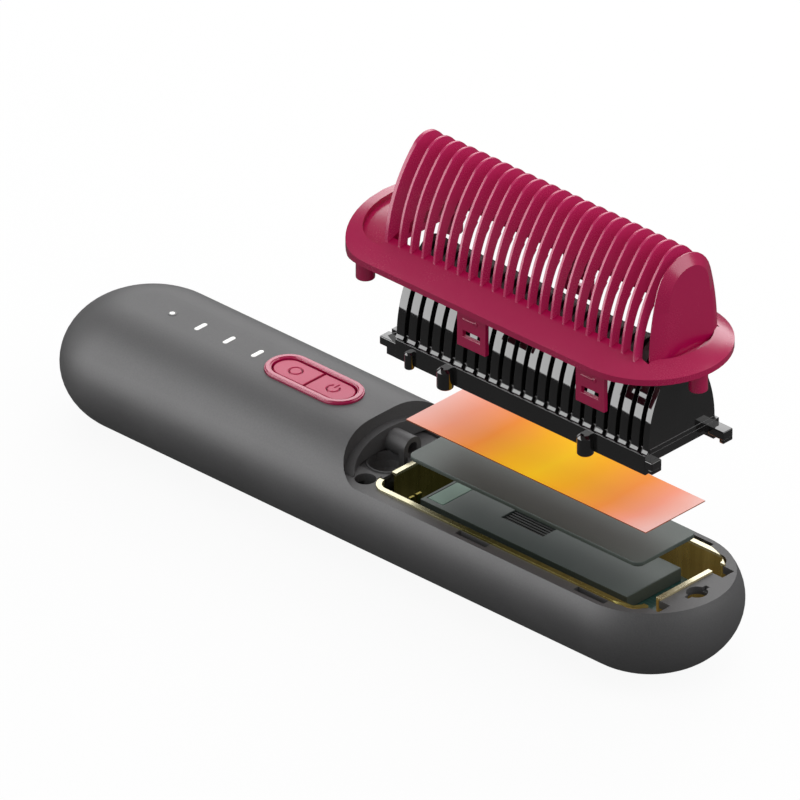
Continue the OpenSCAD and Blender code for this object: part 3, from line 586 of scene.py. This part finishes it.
def roundEdges(piece, width):
    edge = piece.modifiers.new("edge", "BEVEL")
    edge.width = width * mm
    edge.segments = edgeLook["segments"]
    edge.limit_method = "ANGLE"
    edge.angle_limit = math.radians(edgeLook["sharp"])
    even = piece.modifiers.new("even", "WEIGHTED_NORMAL")
    even.keep_sharp = False
    piece.data.shade_smooth()


# A solid's facets are merged first, so that its bevel runs along whole edges
def soften(solid, width):
    weld = solid.modifiers.new("weld", "WELD")
    weld.merge_threshold = edgeLook["weld"] * mm
    flat = solid.modifiers.new("flat", "DECIMATE")
    flat.decimate_type = "DISSOLVE"
    flat.angle_limit = math.radians(edgeLook["flat"])
    roundEdges(solid, width)


for member, width in edgePlan.items():
    soften(nodes[member], width)
print("edges softened:", len(edgePlan))


# Shape tools: each adds a closed form to a bmesh, in millimetres
def addLoft(bm, rings, caps=True):
    made = [[bm.verts.new((x * mm, y * mm, z * mm)) for x, y, z in ring] for ring in rings]
    for low, high in zip(made, made[1:]):
        joinRings(bm, low, high)
    if caps:
        bm.faces.new(list(reversed(made[0])))
        bm.faces.new(made[-1])
    return made


def joinRings(bm, low, high):
    for i in range(len(low)):
        k = (i + 1) % len(low)
        bm.faces.new((low[i], low[k], high[k], high[i]))


def addPlate(bm, outline, near, far):
    addLoft(bm, [[(x, y, z) for y, z in outline] for x in (near, far)])


def addBox(bm, low, high):
    (x0, y0, z0), (x1, y1, z1) = low, high
    addLoft(bm, [[(x0, y0, z), (x1, y0, z), (x1, y1, z), (x0, y1, z)] for z in (z0, z1)])


def addRod(bm, x, y, profile, steps=32):
    turns = [2 * math.pi * i / steps for i in range(steps)]
    addLoft(bm, [[(x + r * math.cos(t), y + r * math.sin(t), z) for t in turns] for r, z in profile])


def pieceFrom(bm, name, bevel=0):
    bmesh.ops.recalc_face_normals(bm, faces=bm.faces)
    mesh = bpy.data.meshes.new(name)
    bm.to_mesh(mesh)
    bm.free()
    piece = bpy.data.objects.new(name, mesh)
    bpy.context.scene.collection.objects.link(piece)
    if bevel:
        roundEdges(piece, bevel)
    return piece


# Cuts the given forms out of a piece and keeps the result as its mesh
def carve(piece, cutters):
    for cutter in cutters:
        cut = piece.modifiers.new("cut", "BOOLEAN")
        cut.operation = "DIFFERENCE"
        cut.solver = "EXACT"
        cut.object = cutter
    shown = piece.evaluated_get(bpy.context.evaluated_depsgraph_get())
    carved = bpy.data.meshes.new_from_object(shown)
    piece.modifiers.clear()
    piece.data = carved
    for cutter in cutters:
        bpy.data.objects.remove(cutter)


def settle(piece, body, finishName):
    piece.data.materials.clear()
    piece.data.materials.append(finishes[finishName])
    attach(piece, body)


# Arch whose sides start upright and run in two wide arcs into a round top
def archOutline(half, foot, top, crown, steps=14):
    rise = top - foot - crown
    side = (half * half + rise * rise - crown * crown) / (2 * (half - crown))
    span = math.atan2(rise, side - half)
    right = [(half - side + side * math.cos(span * i / steps), foot + side * math.sin(span * i / steps))
             for i in range(steps)]
    turns = [span + (math.pi - 2 * span) * i / steps for i in range(steps + 1)]
    over = [(crown * math.cos(t), top - crown + crown * math.sin(t)) for t in turns]
    return right + over + [(-y, z) for y, z in reversed(right)]


# Comb cover: crowned shell with two sunk pockets, thin arched ribs, end cap, posts and clips.
# Heights are counted from the deck, just under the cover's flat rim. The three rooms are cut out of the
# shell from below, so that the closed cover clears the tray's lip, the housing's round boss and the
# housing under the tip.
coverPlan = {
    "deck": 89.7, "half": 21.45, "endCentre": 86.2, "tipCentre": 9.1, "tipReach": 14.95, "low": 0.1,
    "crownTop": 8.75, "crownRadius": 36.5, "shell": 2.1, "thickShell": 3.1, "edge": 0.45,
    "topShares": (0.06, 0.2, 0.4, 0.55, 0.7, 0.8, 0.9, 0.96, 1.0),
    "footShares": (1.0, 0.93), "underShares": (0.91, 0.8, 0.6, 0.3, 0.06),
    "window": {"near": 10.0, "far": 98.0, "half": 13.1, "lap": 1.0, "low": -5.0, "high": 15.0},
    "lipRoom": {"near": 6.1, "far": 99.6, "half": 18.55, "corner": 4.85, "low": -1.0, "high": 0.85},
    "bossRoom": {"near": -7.0, "far": 0.6, "y": 1.5, "centre": 1.4, "radius": 3.55, "low": -1.0,
                 "steps": 16},
    "stepRoom": {"near": -8.0, "far": 1.6, "half": 24.0, "low": -6.0, "roof": 2.05, "narrow": 0.1,
                 "shares": (1.0, 0.9, 0.8, 0.7, 0.6, 0.5, 0.4, 0.3, 0.2, 0.1, 0.02)},
    "pocket": {"depth": 1.5, "half": 16.4, "high": 15.0, "shares": (0.05, 0.3, 0.6, 0.85, 1.0),
               "tipReach": 12.3, "tipMiddle": 4.0, "tipOverlap": 0.3,
               "endSteps": 64, "endMiddle": 101.5, "endOverlap": 0.6},
}
ribPlan = {
    "first": 9.35, "pitch": 4.05, "count": 22, "thick": 0.75, "half": 15.0, "foot": 3.6, "top": 31.45,
    "crown": 6.2, "innerHalf": 12.2, "innerTop": 23.8, "innerCrown": 7.6, "wallNear": 8.75, "wallFar": 9.85,
    "edge": 0.1,
}
toothPlan = {
    "heights": (17.0, 20.2), "reach": 1.1, "point": 1.05, "high": 1.2, "low": -1.05, "highRoot": 0.5,
    "lowRoot": 0.7, "inset": 0.05,
}
capPlan = {
    "near": 97.6, "straight": 0.25, "far": 99.9, "half": 12.5, "top": 30.3, "crown": 10.2, "frontHalf": 8.6,
    "frontTop": 27.6, "frontCrown": 7.2, "edge": 0.35,
}
postPlan = {
    "spots": ((3.3, 16.2), (3.3, -16.2)), "endSpot": (103.0, 0.0), "radius": 2.5, "low": -6.55, "high": 2.9,
    "endHigh": 2.4, "chamfer": 0.2, "bore": 1.25, "boreEnd": 1.125, "boreDepth": 0.5, "wing": 3.6,
    "wingHalf": 0.45, "wingLow": -0.95, "wingHigh": 1.8, "edge": 0.12,
}
clipPlan = {
    "middles": (43.7, 84.6), "y": 19.5, "thick": 1.3, "half": 4.9, "low": -10.35, "high": 1.9,
    "window": {"left": -3.0, "right": 3.0, "low": -7.4, "high": -5.5},
    "bar": {"left": -3.0, "right": 1.5, "low": -2.55, "high": -2.05}, "dot": 0.65, "dotSteps": 20,
    "sunk": 0.3, "proud": 0.22, "edge": 0.12,
}
coverDeck = coverPlan["deck"]


# The crowned top's height over the deck, and with a drop that of a face inside it
def crownAt(x, y, drop=0.0):
    out = math.hypot(max(x - coverPlan["endCentre"], 0.0), y)
    radius = coverPlan["crownRadius"]
    return coverPlan["crownTop"] - radius + math.sqrt((radius - drop) ** 2 - out * out)


# Seen from above: a half circle at the head, straight sides and a blunter curve at the tip
def coverOutline(half, reach, steps=28):
    end, tip = coverPlan["endCentre"], coverPlan["tipCentre"]
    turns = [math.pi * (i / steps - 0.5) for i in range(steps + 1)]
    head = [(end + half * math.cos(t), half * math.sin(t)) for t in turns]
    side = [(end + (tip - end) * i / steps, half) for i in range(1, steps)]
    blunt = []
    for t in reversed(turns):
        along, across = max(math.cos(t), 0.0) ** (2 / 3), abs(math.sin(t)) ** (2 / 3)
        blunt.append((tip - reach * along, math.copysign(half * across, math.sin(t))))
    return head + side + blunt + [(x, -y) for x, y in reversed(side)]


# Drawn in towards the line between the two centres
def shrunk(outline, share):
    end, tip = coverPlan["endCentre"], coverPlan["tipCentre"]
    return [(min(max(x, tip), end) + share * (x - min(max(x, tip), end)), y * share) for x, y in outline]


# Rectangle with round corners
def roundedOutline(x0, x1, half, r, steps=8):
    corners = ((x1 - r, half - r, 0.0), (x0 + r, half - r, 0.5), (x0 + r, r - half, 1.0),
               (x1 - r, r - half, 1.5))
    outline = []
    for x, y, start in corners:
        turns = [math.pi * (start + i / (2 * steps)) for i in range(steps + 1)]
        outline += [(x + r * math.cos(t), y + r * math.sin(t)) for t in turns]
    return outline


def makeWindowCutter():
    plan = coverPlan["window"]
    bm = bmesh.new()
    addBox(bm, (plan["near"], -plan["half"], coverDeck + plan["low"]),
           (plan["far"], plan["half"], coverDeck + plan["high"]))
    return pieceFrom(bm, "windowCutter")


def makeLipCutter():
    plan = coverPlan["lipRoom"]
    outline = roundedOutline(plan["near"], plan["far"], plan["half"], plan["corner"])
    bm = bmesh.new()
    addLoft(bm, [[(x, y, coverDeck + z) for x, y in outline] for z in (plan["low"], plan["high"])])
    return pieceFrom(bm, "lipCutter")


def makeBossCutter():
    plan = coverPlan["bossRoom"]
    r, low = plan["radius"], coverDeck + plan["low"]
    turns = [math.pi * i / plan["steps"] for i in range(plan["steps"] + 1)]
    arch = [(plan["y"] + r * math.cos(t), coverDeck + plan["centre"] + r * math.sin(t)) for t in turns]
    bm = bmesh.new()
    addPlate(bm, [(plan["y"] + r, low)] + arch + [(plan["y"] - r, low)], plan["near"], plan["far"])
    return pieceFrom(bm, "bossCutter")


# Its roof follows the crown from side to side, in rings that shrink to the middle
def makeStepCutter():
    plan = coverPlan["stepRoom"]
    middle = (plan["near"] + plan["far"]) / 2
    sides = [plan["half"] * share for share in (-1, -0.5, 0, 0.5, 1)]
    outline = [(plan["near"], sides[0])] + [(plan["far"], y) for y in sides]
    outline += [(plan["near"], y) for y in reversed(sides[1:])]
    rings = [[(x, y, coverDeck + plan["low"]) for x, y in outline]]
    for share in plan["shares"]:
        along = plan["narrow"] + (1 - plan["narrow"]) * share
        spots = [(middle + (x - middle) * along, y * share) for x, y in outline]
        rings.append([(x, y, coverDeck + crownAt(0, y, plan["roof"])) for x, y in spots])
    bm = bmesh.new()
    addLoft(bm, rings)
    return pieceFrom(bm, "stepCutter")


# A pocket's floor lies parallel to the crown. Its outline is closed by a straight line.
def makePocketCutter(name, curve, line, middle):
    plan = coverPlan["pocket"]
    outline = [(line, curve[0][1])] + curve + [(line, curve[-1][1])]
    rings = []
    for share in plan["shares"]:
        spots = [(middle + (x - middle) * share, y * share) for x, y in outline]
        rings.append([(x, y, coverDeck + crownAt(x, y, plan["depth"])) for x, y in spots])
    rings.append([(x, y, coverDeck + plan["high"]) for x, y in outline])
    bm = bmesh.new()
    addLoft(bm, rings)
    return pieceFrom(bm, name)


def makeTipCutter():
    plan = coverPlan["pocket"]
    line = ribPlan["wallNear"] + plan["tipOverlap"]
    curve = [(x, y) for x, y in coverOutline(plan["half"], plan["tipReach"]) if x < line]
    return makePocketCutter("tipCutter", curve, line, plan["tipMiddle"])


def makeEndCutter():
    plan = coverPlan["pocket"]
    line = capPlan["far"] - plan["endOverlap"]
    curve = [(x, y) for x, y in coverOutline(plan["half"], plan["tipReach"], plan["endSteps"]) if x > line]
    return makePocketCutter("endCutter", curve, line, plan["endMiddle"])


def makeCoverShell():
    plan, window = coverPlan, coverPlan["window"]
    outline = coverOutline(plan["half"], plan["tipReach"])

    # The shell is thicker at the window's ends and beyond, under the pockets
    def underAt(x, y):
        beside = window["near"] + window["lap"] < x < window["far"] - window["lap"]
        return max(crownAt(x, y, plan["shell"] if beside else plan["thickShell"]), plan["low"])

    rings = [[(x, y, coverDeck + crownAt(x, y)) for x, y in shrunk(outline, share)]
             for share in plan["topShares"]]
    rings += [[(x, y, coverDeck + plan["low"]) for x, y in shrunk(outline, share)]
              for share in plan["footShares"]]
    rings += [[(x, y, coverDeck + underAt(x, y)) for x, y in shrunk(outline, share)]
              for share in plan["underShares"]]
    bm = bmesh.new()
    addLoft(bm, rings)
    shell = pieceFrom(bm, "coverShell")
    carve(shell, [makeWindowCutter(), makeLipCutter(), makeBossCutter(), makeStepCutter(), makeTipCutter(),
                  makeEndCutter()])
    roundEdges(shell, plan["edge"])
    return shell


# The half width of an arch's inner outline at a height
def innerAt(outline, height):
    for (y, z), (v, w) in zip(outline, outline[1:]):
        if z <= height < w:
            return y + (v - y) * (height - z) / (w - z)
    return 0.0


def addTooth(bm, y, z, side, near, far):
    plan = toothPlan
    outline = [(y + side * plan["highRoot"], z + plan["high"]),
               (y - side * plan["reach"], z + plan["point"]),
               (y + side * plan["lowRoot"], z + plan["low"])]
    addPlate(bm, outline, near + plan["inset"], far - plan["inset"])


# The first rib is a closed wall, the others are open arches with two teeth on each side
def makeCoverRibs():
    plan, foot = ribPlan, coverDeck + ribPlan["foot"]
    outer = archOutline(plan["half"], foot, coverDeck + plan["top"], plan["crown"])
    inner = archOutline(plan["innerHalf"], foot, coverDeck + plan["innerTop"], plan["innerCrown"])
    bm = bmesh.new()
    addPlate(bm, outer, plan["wallNear"], plan["wallFar"])
    for i in range(1, plan["count"]):
        near = plan["first"] + i * plan["pitch"]
        far = near + plan["thick"]
        addLoft(bm, [[(near, y, z), (far, y, z), (far, v, w), (near, v, w)]
                     for (y, z), (v, w) in zip(outer, inner)])
        for height in toothPlan["heights"]:
            z = coverDeck + height
            for side in (-1, 1):
                addTooth(bm, innerAt(inner, z) * side, z, side, near, far)
    return pieceFrom(bm, "coverRibs", plan["edge"])


def makeCoverCap():
    plan, foot = capPlan, coverDeck + ribPlan["foot"]
    back = archOutline(plan["half"], foot, coverDeck + plan["top"], plan["crown"])
    front = archOutline(plan["frontHalf"], foot, coverDeck + plan["frontTop"], plan["frontCrown"])
    stations = ((plan["near"], back), (plan["near"] + plan["straight"], back), (plan["far"], front))
    bm = bmesh.new()
    addLoft(bm, [[(x, y, z) for y, z in outline] for x, outline in stations])
    return pieceFrom(bm, "coverCap", plan["edge"])


# Posts with a shallow bore in their foot. The one at the head's end is shorter and has two wings.
def makeCoverPosts():
    plan = postPlan
    r, low = plan["radius"], coverDeck + plan["low"]
    below = [(plan["boreEnd"], low + plan["boreDepth"]), (plan["bore"], low), (r - plan["chamfer"], low),
             (r, low + plan["chamfer"])]
    bm = bmesh.new()
    for x, y in plan["spots"]:
        addRod(bm, x, y, below + [(r, coverDeck + plan["high"])])
    x, y = plan["endSpot"]
    addRod(bm, x, y, below + [(r, coverDeck + plan["endHigh"])])
    addBox(bm, (x - plan["wingHalf"], y - plan["wing"], coverDeck + plan["wingLow"]),
           (x + plan["wingHalf"], y + plan["wing"], coverDeck + plan["wingHigh"]))
    return pieceFrom(bm, "coverPosts", plan["edge"])


def rectangle(x0, x1, y, low, high):
    return [(x0, y, low), (x1, y, low), (x1, y, high), (x0, y, high)]


# Each clip is a plate with a window, and above it a raised bar that ends in a dot
def addClip(bm, middle, side):
    plan, window, bar = clipPlan, clipPlan["window"], clipPlan["bar"]
    face = side * (plan["y"] + plan["thick"] / 2)
    y0, y1 = sorted((side * (plan["y"] - plan["thick"] / 2), face))
    outer = [rectangle(middle - plan["half"], middle + plan["half"], y, coverDeck + plan["low"],
                       coverDeck + plan["high"]) for y in (y0, y1)]
    hole = [rectangle(middle + window["left"], middle + window["right"], y, coverDeck + window["low"],
                      coverDeck + window["high"]) for y in (y0, y1)]
    made = addLoft(bm, [hole[0], outer[0], outer[1], hole[1]], caps=False)
    joinRings(bm, made[-1], made[0])
    ys = sorted((face - side * plan["sunk"], face + side * plan["proud"]))
    low, high = coverDeck + bar["low"], coverDeck + bar["high"]
    addBox(bm, (middle + bar["left"], ys[0], low), (middle + bar["right"], ys[1], high))
    turns = [2 * math.pi * i / plan["dotSteps"] for i in range(plan["dotSteps"])]
    dot = [(middle + bar["right"] + plan["dot"] * math.cos(t), (low + high) / 2 + plan["dot"] * math.sin(t))
           for t in turns]
    addLoft(bm, [[(x, y, z) for x, z in dot] for y in ys])


def makeCoverClips():
    bm = bmesh.new()
    for middle in clipPlan["middles"]:
        for side in (-1, 1):
            addClip(bm, middle, side)
    return pieceFrom(bm, "coverClips", clipPlan["edge"])


coverPieces = [makeCoverShell(), makeCoverRibs(), makeCoverCap(), makeCoverPosts(), makeCoverClips()]
for piece in coverPieces:
    settle(piece, "cover_layer", "ribs" if piece.name == "coverRibs" else "rose")
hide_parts("comb_cover")
print("cover made:", len(coverPieces), "pieces")


# Heated comb: solid arches with flared feet, on two rails with corner tabs and bosses.
# The arches repeat as the cover's ribs do. Heights are counted from the deck, the level of the floor
# under the arches.
combPlan = {
    "deck": 68.2, "first": 10.4, "pitch": ribPlan["pitch"], "count": ribPlan["count"], "thick": 2.7,
    "lastThick": 1.95, "half": 12.3, "foot": -1.2, "top": 23.4, "crown": 5.0, "flare": 0.5,
    "flareLow": 0.25, "flareHigh": 0.9, "edge": 0.22,
}
framePlan = {
    "near": 8.2, "far": 97.6, "railNear": 11.2, "railHalf": 13.65, "railIn": 11.6, "railLow": -6.5,
    "railHigh": -1.0, "lowHigh": -2.4, "lap": 0.3, "inset": 0.02, "floorLow": -1.3, "floorHigh": 0.1,
    "floorInset": 0.05, "floorLap": 0.2, "endThick": 1.6, "endLow": -3.7, "endLap": 0.1,
    "rampNear": 6.6, "rampLow": -2.5, "rampHigh": 0.7, "rampIn": 10.9, "rampOut": 12.1, "edge": 0.1,
}
tabPlan = {
    "inner": 10.05, "outer": 13.65, "high": -2.2, "low": -4.6, "stepLow": -5.6, "backLong": 4.8,
    "frontLong": 2.4, "step": 1.5, "handleLong": 2.5, "root": 0.5, "handleRoot": 0.2, "stepRoot": 0.3,
    "inset": 0.01, "edge": 0.3,
}
# Places along the comb are shares of its length, counted from its middle
bossPlan = {
    "large": {"shares": (-0.265, 0.277), "y": 14.3, "radius": 2.2, "low": -7.8, "high": -2.0,
              "chamfer": 0.35, "neck": 0.8, "neckIn": 0.9},
    "small": {"shares": (-0.407,), "y": 14.0, "radius": 1.3, "low": -7.3, "high": -2.5,
              "chamfer": 0.25, "neck": 0.5, "neckIn": 0.5},
}
bossEdge = 0.1
combDeck = combPlan["deck"]


def makeCombArches():
    plan, low = combPlan, combDeck + combPlan["foot"]
    arch = archOutline(plan["half"], low + plan["flareHigh"], combDeck + plan["top"], plan["crown"])
    flare = plan["half"] + plan["flare"]
    high = low + plan["flareLow"]
    outline = [(flare, low), (flare, high)] + arch + [(-flare, high), (-flare, low)]
    bm = bmesh.new()
    for i in range(plan["count"]):
        near = plan["first"] + i * plan["pitch"]
        thick = plan["thick"] if i < plan["count"] - 1 else plan["lastThick"]
        addPlate(bm, outline, near, near + thick)
    return pieceFrom(bm, "combArches", plan["edge"])


# A rail on each side with a lower part and a ramp at the handle's end
def addRail(bm, side):
    plan, inset = framePlan, framePlan["inset"]
    y0, y1 = sorted((side * plan["railIn"], side * plan["railHalf"]))
    low = combDeck + plan["railLow"]
    addBox(bm, (plan["near"], y0 + inset, low + inset),
           (plan["railNear"] + plan["lap"], y1 - inset, combDeck + plan["lowHigh"]))
    addBox(bm, (plan["railNear"], y0, low), (plan["far"], y1, combDeck + plan["railHigh"]))
    ramp = [(plan["rampNear"], plan["rampLow"]), (plan["railNear"], plan["rampLow"]),
            (plan["railNear"], plan["rampHigh"])]
    ys = sorted((side * plan["rampIn"], side * plan["rampOut"]))
    addLoft(bm, [[(x, y, combDeck + z) for x, z in ramp] for y in ys])


def makeCombFrame():
    plan, inset = framePlan, framePlan["inset"]
    near, far, half = plan["near"], plan["far"], plan["railIn"] + plan["floorLap"]
    bm = bmesh.new()
    for side in (-1, 1):
        addRail(bm, side)
    addBox(bm, (near + plan["floorInset"], -half, combDeck + plan["floorLow"]),
           (far - plan["floorInset"], half, combDeck + plan["floorHigh"]))
    for x0, x1 in ((near + inset, near + plan["endThick"]), (far - plan["endThick"], far - inset)):
        addBox(bm, (x0, -half, combDeck + plan["endLow"]),
               (x1, half, combDeck + plan["floorLow"] + plan["endLap"]))
    return pieceFrom(bm, "combFrame", plan["edge"])


def makeCombTabs():
    plan, inset = tabPlan, tabPlan["inset"]
    low, high = combDeck + plan["low"], combDeck + plan["high"]
    bm = bmesh.new()
    for side, length in ((-1, plan["frontLong"]), (1, plan["backLong"])):
        y0, y1 = sorted((side * plan["inner"], side * plan["outer"]))
        end = framePlan["far"] + length
        addBox(bm, (framePlan["far"] - plan["root"], y0, low), (end, y1, high))
        addBox(bm, (end - plan["step"], y0 + inset, combDeck + plan["stepLow"]),
               (end - inset, y1 - inset, low + plan["stepRoot"]))
        addBox(bm, (framePlan["near"] - plan["handleLong"], y0, low),
               (framePlan["railNear"] + plan["handleRoot"], y1 - inset, high))
    return pieceFrom(bm, "combTabs", plan["edge"])


def makeCombBosses():
    middle, length = (framePlan["near"] + framePlan["far"]) / 2, framePlan["far"] - framePlan["near"]
    bm = bmesh.new()
    for side in (-1, 1):
        for plan in bossPlan.values():
            r, low, high = plan["radius"], combDeck + plan["low"], combDeck + plan["high"]
            for share in plan["shares"]:
                addRod(bm, middle + share * length, side * plan["y"],
                       [(r - plan["chamfer"], low), (r, low + plan["chamfer"]), (r, high - plan["neck"]),
                        (r - plan["neckIn"], high)])
    return pieceFrom(bm, "combBosses", bossEdge)


combPieces = [makeCombArches(), makeCombFrame(), makeCombTabs(), makeCombBosses()]
for piece in combPieces:
    settle(piece, "comb_layer", "comb")
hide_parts("heated_comb")
print("comb made:", len(combPieces), "pieces")


# Round bowl with a thin raised rim, in a flat plate that fills the handle's end of the opening
bowlPlan = {
    "centre": (0.9, -5.4), "radius": 5.2, "low": (-4.15, -12.15), "high": (5.4, 12.15), "deck": 23.5,
    "depth": 6.8, "dips": (0.0, 0.3, 0.6, 0.9, 1.2, 1.45), "hole": 0.05, "wall": 0.5, "floor": 0.6,
    "flange": 0.8, "rim": 0.35, "rimIn": 0.05, "rimOut": 0.4, "steps": 64,
}


# How far a ray from the bowl's centre runs to one of the plate's edges
def reachTo(step, centre, low, high):
    if abs(step) < 1e-6:
        return math.inf
    return ((high if step > 0 else low) - centre) / step


def makeBowl():
    plan = bowlPlan
    (x, y), r, deck = plan["centre"], plan["radius"], plan["deck"]
    turns = [2 * math.pi * i / plan["steps"] for i in range(plan["steps"])]

    def ring(radius, z):
        return [(x + radius * math.cos(t), y + radius * math.sin(t), z) for t in turns]

    def plateEdge(z):
        reaches = [min(reachTo(math.cos(t), x, plan["low"][0], plan["high"][0]),
                       reachTo(math.sin(t), y, plan["low"][1], plan["high"][1])) for t in turns]
        return [(x + math.cos(t) * reach, y + math.sin(t) * reach, z) for t, reach in zip(turns, reaches)]

    def bowl(radius, top):
        return [ring(radius * math.cos(dip), top - plan["depth"] * math.sin(dip)) for dip in plan["dips"]]

    bottom, rimTop = deck - plan["depth"], deck + plan["rim"]
    outside = list(reversed(bowl(r + plan["wall"], deck - plan["floor"])[1:]))
    rings = [ring(plan["hole"], bottom - plan["floor"])] + outside
    rings += [plateEdge(deck - plan["flange"]), plateEdge(deck)]
    rings += [ring(r + plan["wall"], deck), ring(r + plan["rimOut"], rimTop),
              ring(r + plan["rimIn"], rimTop)]
    rings += bowl(r, deck) + [ring(plan["hole"], bottom)]
    bm = bmesh.new()
    addLoft(bm, rings, caps=False)
    return pieceFrom(bm, "baySaucer")


settle(makeBowl(), "brush_body", "body")
print("bowl made")


# Studio: pale floor and soft lights all round. One that isn't mirrored shows in no reflection, and the
# front panel shows in reflections only.
studioMiddle = Vector((0.0, 0.0, 40 * mm))
lightPlans = {
    "backSoftbox": {"azimuth": 211, "elevation": 30, "distance": 1.2, "size": (1.25, 0.95), "glow": 2.2},
    "frontPanel": {"azimuth": -39, "elevation": 22, "distance": 0.36, "size": (0.5, 0.36), "glow": 3.4,
                   "lights": False},
    "frontFill": {"azimuth": 0, "elevation": 8, "distance": 1.3, "size": (1.6, 0.5), "glow": 0.3,
                  "mirrored": False},
    "sideFill": {"azimuth": 118, "elevation": 32, "distance": 1.2, "size": (1.0, 0.8), "glow": 1.8},
    "overhead": {"azimuth": 0, "elevation": 86, "distance": 1.3, "size": (1.4, 1.4), "glow": 1.0,
                 "mirrored": False},
}


def makeLight(name, plan):
    data = bpy.data.lights.new(name, "AREA")
    data.shape = "RECTANGLE"
    data.size, data.size_y = plan["size"]
    data.energy = plan["glow"] * math.pi * data.size * data.size_y
    light = bpy.data.objects.new(name, data)
    bpy.context.scene.collection.objects.link(light)
    place = studioMiddle + direction(plan["azimuth"], plan["elevation"]) * plan["distance"]
    aim(light, place, studioMiddle)
    light.visible_glossy = plan.get("mirrored", True)
    light.visible_diffuse = plan.get("lights", True)
    light.visible_camera = False


for name, plan in lightPlans.items():
    makeLight(name, plan)


# White where the camera sees it, dimmer as light on the part and in reflections
worldPlan = {"seen": 1.0, "fill": 0.55, "mirrored": 0.16}


def makeWorld():
    world = bpy.data.worlds.new("studio")
    bpy.context.scene.world = world
    g = Graph(world)
    through = g.node("LightPath", output="Is Transmission Ray")
    seen = g.node("LightPath", output="Is Camera Ray").larger(through)
    mirrored = g.node("LightPath", output="Is Glossy Ray")
    level = g.node("Mix", None, {0: mirrored, 2: worldPlan["fill"], 3: worldPlan["mirrored"]})
    shown = g.node("Mix", None, {0: seen, 2: level, 3: worldPlan["seen"]})
    g.node("OutputWorld", None, {0: g.node("Background", None, {"Strength": shown})})


# The camera sees a nearly white floor, while the part gets a grey one and mirrors a dark one
floorPlan = {
    "size": 3.0, "squares": 8, "drop": 0.2, "cloud": 60.0, "dark": (0.86, 0.86, 0.86),
    "light": (0.9, 0.9, 0.9), "white": (1.0, 1.0, 1.0), "glow": 0.93, "unseen": (0.3, 0.3, 0.3),
    "mirrored": 0.09,
}


def floorFinish():
    look = floorPlan
    g = newFinish("floorFinish")
    cloud = g.noise(look["cloud"] * mm, detail=2.0)
    paint = g.node("BsdfDiffuse", None, {0: g.mix(cloud, look["dark"], look["light"])})
    glow = g.node("Emission", None, {0: look["white"], 1: 1.0})
    bright = g.node("MixShader", None, {0: look["glow"], 1: paint, 2: glow})
    plain = g.node("BsdfDiffuse", None, {0: look["unseen"]})
    dark = g.node("Emission", None, {0: look["white"], 1: look["mirrored"]})
    mirrored = g.node("LightPath", output="Is Glossy Ray")
    unseen = g.node("MixShader", None, {0: mirrored, 1: plain, 2: dark})
    camera = g.node("LightPath", output="Is Camera Ray")
    g.node("OutputMaterial", None, {0: g.node("MixShader", None, {0: camera, 1: unseen, 2: bright})})
    return g.owner


def makeFloor():
    mesh = bpy.data.meshes.new("floor")
    bm = bmesh.new()
    bmesh.ops.create_grid(bm, x_segments=floorPlan["squares"], y_segments=floorPlan["squares"],
                          size=floorPlan["size"])
    bm.to_mesh(mesh)
    bm.free()
    mesh.materials.append(floorFinish())
    floor = bpy.data.objects.new("floor", mesh)
    bpy.context.scene.collection.objects.link(floor)
    floor.location.z = -floorPlan["drop"] * mm


makeWorld()
makeFloor()
print("studio set")
